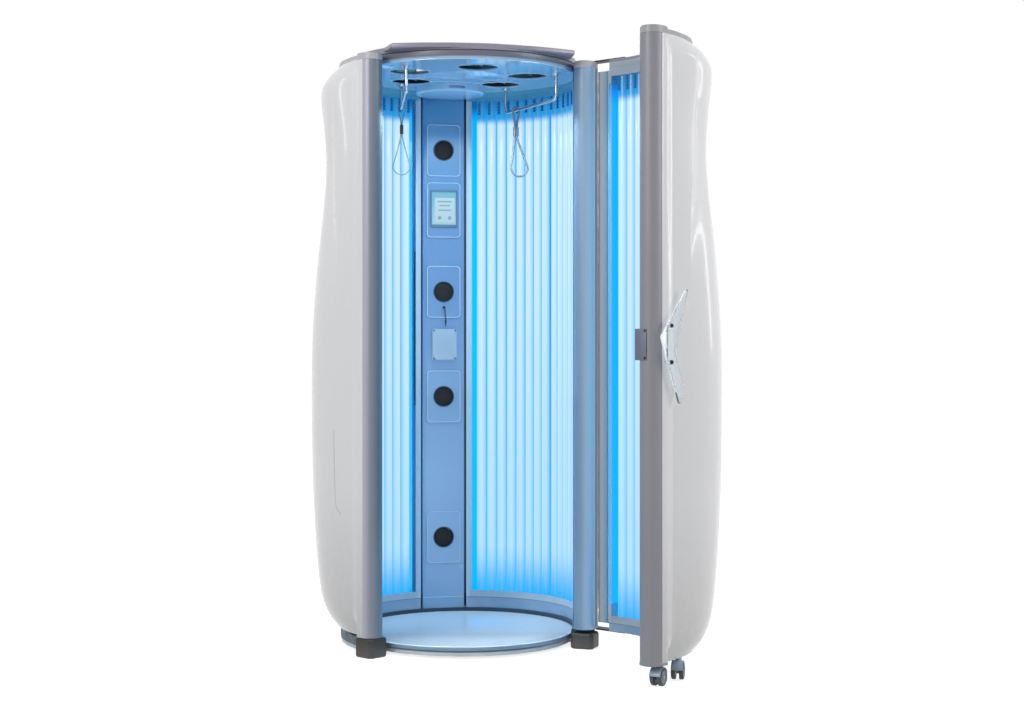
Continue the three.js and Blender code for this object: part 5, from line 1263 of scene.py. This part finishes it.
def add_bars():
    for name, (front, rear, share, wire, belly, lean, coating, crimp) in BARS.items():
        front, rear = Vector((*front, BAR_Z)), Vector((*rear, BAR_Z))
        along = (rear - front).normalized()
        add_grab_bar(name, front, rear, along)
        add_strap(name, front.lerp(rear, share), along.cross(UP), wire, belly, lean, coating)
        solid_copy("strap_crimp_" + name, crimp, 0.8, 2)


def add_grab_bar(name, front, rear, along):
    """Bent bar with a flange where each end meets the ceiling."""
    top = CEILING_Z - SEAT_GAP
    halves = []
    for corner, inward in ((front, along), (rear, -along)):
        bend = [corner + UP * BAR_BEND * (1 - t) ** 2 + inward * BAR_BEND * t * t
                for t in spread(0, 1, 10) + [1]]
        halves.append([corner + UP * (top - BAR_Z), corner + UP * 60] + bend)
    path = halves[0] + halves[1][::-1]
    seat(tube(f"grab_bar_{name}_tube", path, BAR_D / 2, 24, CHROME), "grab_bar_" + name)
    profile = [(6.05, -9), (8, -9), (9, -7.5), (9.6, -4), (15, -3), (16, -2), (16, 0), (6.05, 0)]
    for tag, end in (("front", front), ("rear", rear)):
        flange = lathe(f"grab_bar_{name}_flange_{tag}", [(r, top + z) for r, z in profile], 32, CHROME,
                       centre=(end.x, end.y), closed=True)
        on_cabinet(flange, "bar_chrome")


def add_strap(name, hang, across, wire, belly, lean, coating):
    """Closed loop of coated wire: over the bar, side by side through the crimp, round at the bottom."""
    half = wire / 2
    twin, waist = half + 0.5, STRAP_LOW + belly * 2.3
    arch_z = BAR_Z + BAR_D / 2 + half + SEAT_GAP - STRAP_ARCH
    over, under = [], []
    for a in spread(0, 180, 8) + [180]:
        u, v = polar(1, a)
        over.append((STRAP_ARCH * u, arch_z + STRAP_ARCH * v))
        under.append((lean - belly * u, STRAP_LOW + belly - belly * v))
    crimp = (1960, 1928, 1903)
    loop = over + [(-twin, z) for z in crimp] + [(lean * 0.6 - belly * 0.62, waist)] + under
    loop += [(lean * 0.6 + belly * 0.62, waist)] + [(twin, z) for z in reversed(crimp)]
    path = smooth_path([hang.xy.to_3d() + across * u + UP * z for u, z in loop], 5, closed=True)
    seat(tube(f"strap_{name}_wire", path, half, 12, coating, closed=True), "strap_" + name)


# Door: frame, lamp wall, end strips, handle, catch, castors.
def add_door():
    solid_copy("door_post", DOOR_POST_ALU, 2.0, 3)
    solid_copy("door_cap", CAP_GREY, 2.0, 3)
    solid_copy("door_surround", DOOR_SHEET, 0.5, 1)
    solid_copy("door_reflector", DOOR_REFLECTOR, 0)
    head_r, head_z = (419.4, 425.0), (2107.9, 2137.4)
    head = arc_slab("door_head", *head_r, DOOR_POST_AT + 4.4, DOOR_END, *head_z, DOOR_SHEET, swung)
    on_door(rounded(head, 1.4), "cap_grey")
    add_strike()
    for node in ("door_base", "hinge_plate_top", "hinge_plate_bottom"):
        solid_copy(node, DARK_STEEL, 0.8)
    solid_copy("catch_plate", CATCH, 0.8)
    add_door_end()
    add_end_brush()
    solid_copy("door_handle", CLEAR, 0.9, 3)
    add_handle_screws()
    for number, (reach, angle) in enumerate(CASTORS, 1):
        add_castor(number, reach, angle)


def end_point(r, out, z):
    """A point beyond the hinge end of the door, out past its last edge."""
    return swung(*rotated(r, out, DOOR_END), z)


def add_door_end():
    """Seal, lit liner and lit strip on the hinge end of the door."""
    section = ((421.5, 0.3), (470.0, 0.3), (466.0, 11.0), (460.0, 12.4), (430.0, 12.4), (424.0, 11.0))
    strip_z, lit_z, slot = (96.0, 2098.0), (168.0, 2050.0), SLOT_OF["door_reflector"]
    rings = [[end_point(r, out, z) for r, out in section] for z in strip_z]
    on_door(rounded(loft("door_end_seal", rings, DOOR_SHEET), 1.5), "cap_grey")
    # The liner and the strip glow: painted lamp light.
    liner = arc_slab("door_end_liner", 418.8, 476.0, DOOR_END - 0.42, DOOR_END - 0.28, *lit_z, END_LINER,
                     swung)
    on_door(liner, slot)
    strip = arc_slab("door_end_strip", 417.3, 418.3, DOOR_END - 1.0, DOOR_END, *lit_z, END_LINER, swung)
    on_door(rounded(strip, 0.3), slot)


def brush_light_and_shade_material(root, tip):
    """Blue by the door, painted lamp light; grey in the middle, the brush's own colour; dark at the tips,
    painted shadow.
    """
    ahead = Vector(way(root, tip)).normalized()
    start = ahead.dot(Vector((root[0], root[1], 0)))
    grey = (start + 4, start + 20, (176, 176, 178), 1.0)
    dark = (start + 29, start + 33, (116, 132, 152), 1.0)
    return finish("door_end_brush", (116, 170, 204), (108, 162, 196), (0.6, 0.8), cloud=20.0, grain=900.0,
                  along=0.02, bump=0.2, across=tuple(ahead.xy), painted_light_steps=[grey, dark])


def add_end_brush():
    """Soft brush on the hinge end of the door."""
    rows, steps, low, tall = 90, 6, 97.0, 2000.0
    front_r, back_r, middle_r, middle_z = 424.0, 431.0, 428.0, 1100.0
    rings = []
    for k in range(rows + 1):
        fray = 0.7 * math.sin(k * 2.4) + 0.5 * math.sin(k * 5.3 + 1)
        front, back = [], []
        for i in range(steps + 1):
            out = BRUSH_ROOT + (BRUSH_REACH + fray - BRUSH_ROOT) * i / steps
            front.append((front_r - 0.6 * math.sin(math.pi * i / steps), out))
            back.append((back_r - 2.5 * i / steps, out))
        rings.append([end_point(r, out, low + tall * k / rows) for r, out in front + back[::-1]])
    root, tip = [end_point(middle_r, out, middle_z) for out in (BRUSH_ROOT, BRUSH_REACH)]
    brush = on_door(loft("door_end_brush", rings, brush_light_and_shade_material(root, tip)), "cap_grey", 50)
    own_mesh(brush)


def post_point(out, t, z):
    """A point by the door post: out from its middle and along its face."""
    return swung(*rotated(POST_R + out, t, DOOR_POST_AT), z)


def add_handle_screws():
    out, t = POST_HALF + HANDLE_STAND + HANDLE_T + 0.8, 17
    heads = [post_point(out, t, HANDLE_Z + dz) for dz in (-59, 59)]
    facing = way(heads[0], post_point(out + 1, t, HANDLE_Z))
    add_screws("handle_screws", heads, [facing] * 2, "door", SCREW_BLACK, "catch_steel", 15, 3.2)


def add_strike():
    """Strike plate on the nose of the door post, its free edge towards the cabin, held by two screws."""
    outline = soft_rect(46.0, 102.0, 3.0, 5)
    back, face, inset = POST_HALF + 0.2, POST_HALF + 2.2, 15.0
    rings = [[post_point(r - inset, -t, STRIKE_Z + z) for r, z in outline] for t in (back, face)]
    on_door(rounded(loft("strike_plate", rings, CATCH), 0.5), "catch_steel")
    heads = [post_point(2.0, -face - 0.3, STRIKE_Z + dz) for dz in (-44, 44)]
    facing = way(heads[0], post_point(2.0, -face - 1.3, STRIKE_Z))
    add_screws("strike_screws", heads, [facing] * 2, "door", SCREW_BLACK, "catch_steel", 9.0, 1.2)


def add_castor(number, reach, angle):
    """Twin-wheel castor: two treads and discs on an axle, under a hood on the fork."""
    centre = polar(reach, angle)
    wheels, fork = f"castor_wheels_{number}", f"castor_fork_{number}"

    def wheel_ring(profile, a):
        """The profile of (radius, place along the axle) points, at an angle round the axle."""
        ring = []
        for r, y in profile:
            dx, dz = polar(r, a)
            x, y = rotated(dx - WHEEL_TRAIL, y, angle + CASTOR_TURN)
            ring.append(swung(centre[0] + x, centre[1] + y, WHEEL_R + dz))
        return ring

    def turned(part, profile, material, *nodes):
        rings = [wheel_ring(profile, a) for a in spread(0, 360, 48)]
        seat(loft(f"castor_{number}_{part}", rings, material, True), *nodes, body=BODY_OF[wheels],
             slot="castor_tread")

    tread = [(22, 6.6), (28.2, 6.4), (29, 8), (29, 16.5), (27.8, 19.4), (25, 21), (22, 21)]
    disc = [(4, 7), (21.9, 7), (21.9, 20.2), (19.5, 20.4), (17, 18.6), (9, 18), (7.5, 20.2), (5, 20.8),
            (4, 20.8)]
    for tag, side, nodes in (("a", 1, [wheels]), ("b", -1, [])):
        turned("tread_" + tag, [(r, side * y) for r, y in tread], TREAD, *nodes)
        turned("disc_" + tag, [(r, side * y) for r, y in disc], WHEEL_FACE)
    turned("axle", [(0.4, -20.5), (4, -20.5), (4, 20.5), (0.4, 20.5)], COLLAR_METAL)
    solid_copy(fork, HOOD, 0.8)
    section = ((30.4, -19), (32.6, -19.6), (33.4, -17), (33.4, 17), (32.6, 19.6), (30.4, 19))
    hood = loft(f"castor_{number}_hood", [wheel_ring(section, a) for a in spread(20, 170, 22) + [170]], HOOD)
    seat(hood, body=BODY_OF[fork], slot="castor_body")


# Stage: pale floor, white surroundings, soft lights.
WHITE, COOL = (1.0, 1.0, 1.0), (0.6, 0.85, 1.0)
WORLD_TINT, WORLD_LEVEL = (0.97, 0.98, 1.0, 1.0), 0.42
LIGHTS = (("key", (-4.6, -3.8, 3.6), (0, 0, 1.2), 2.2, 2.2, 138.0, WHITE, 180),
          ("fill", (4.6, -3.0, 2.8), (0.3, 0, 1.0), 2.2, 2.2, 86.0, WHITE, 180),
          ("rear", (1.5, 5.0, 3.6), (0, 0, 1.2), 2.2, 2.2, 40.0, WHITE, 180),
          ("strip_left", (-3.3, 1.9, 2.72), (-0.4, 0, 1.9), 0.12, 1.1, 1.8, WHITE, 180),
          ("strip_right", (4.05, 0.3, 2.4), (0.6, -0.8, 1.7), 0.2, 2.6, 5.6, WHITE, 180),
          ("cabin_front", (0, -0.33, 0.8), (0, 1.0, 0.8), 0.3, 1.3, 0.9, COOL, 180),
          ("cabin_top", (0, -0.12, 1.95), (0, -0.12, 0), 0.4, 0.4, 4.8, (0.72, 0.9, 1.0), 180),
          ("cabin_up", (0, -0.05, 0.9), (0, -0.05, 2.0), 0.3, 0.3, 0.9, COOL, 180),
          ("cabin_step", (-0.02, -0.36, 0.6), (-0.02, -0.33, 0.05), 0.6, 0.06, 0.8, (0.8, 0.93, 1.0), 60))


def seen_directly(tree):
    """One for rays from the camera, also by way of metal and glass."""
    path = put(tree, "ShaderNodeLightPath", take=None).outputs
    seen = calc(tree, "MAXIMUM", path["Is Camera Ray"], path["Is Glossy Ray"])
    return calc(tree, "MAXIMUM", seen, path["Is Transmission Ray"])


def floor_material():
    material, tree, shader, base = grained_material("floor_pale")
    pale = blend(tree, base["Cloud"], srgb(176, 176, 176), srgb(182, 182, 182))
    tree.links.new(pale, shader.inputs["Base Color"])
    shader.inputs["Roughness"].default_value = 0.8
    shader.inputs["Specular IOR Level"].default_value = 0.1
    lift = times(tree, seen_directly(tree), 0.8)
    white = put(tree, "ShaderNodeEmission", {0: (*WHITE, 1), 1: lift})
    both = put(tree, "ShaderNodeAddShader", {0: shader.outputs[0], 1: white})
    tree.links.new(both, tree.nodes["Material Output"].inputs[0])
    return material


def add_world():
    world = bpy.data.worlds.new("studio")
    scene.world = world
    world.use_nodes = True
    tree = world.node_tree
    tree.nodes.clear()
    dim = put(tree, "ShaderNodeBackground", {0: WORLD_TINT, 1: WORLD_LEVEL})
    white = put(tree, "ShaderNodeBackground", {0: (*WHITE, 1), 1: 1.0})
    mix = put(tree, "ShaderNodeMixShader", {0: seen_directly(tree), 1: dim, 2: white})
    put(tree, "ShaderNodeOutputWorld", {0: mix}, take=None)


def add_lights():
    for name, place, aim, wide, tall, power, tint, beam in LIGHTS:
        data = bpy.data.lights.new(name, "AREA")
        data.shape = "RECTANGLE"
        data.size, data.size_y = wide, tall
        data.energy = power
        data.spread = math.radians(beam)
        data.color = tint
        lamp = bpy.data.objects.new(name, data)
        lamp.location = place
        lamp.rotation_euler = (Vector(aim) - Vector(place)).to_track_quat("-Z", "Y").to_euler()
        lamp.visible_camera = False
        scene.collection.objects.link(lamp)


def add_stage():
    half, near, far, z = 9000, -9000, 12000, -0.5
    corners = [(-half, near, z), (half, near, z), (half, far, z), (-half, far, z)]
    floor = mesh_object("floor", corners, [(0, 1, 2, 3)], floor_material())
    add_world()
    add_lights()
    scene.view_settings.view_transform = "Standard"


add_column()
add_shells()
add_fairings()
add_lamps()
add_roof()
add_base()
add_frame()
add_bars()
add_door()
add_stage()
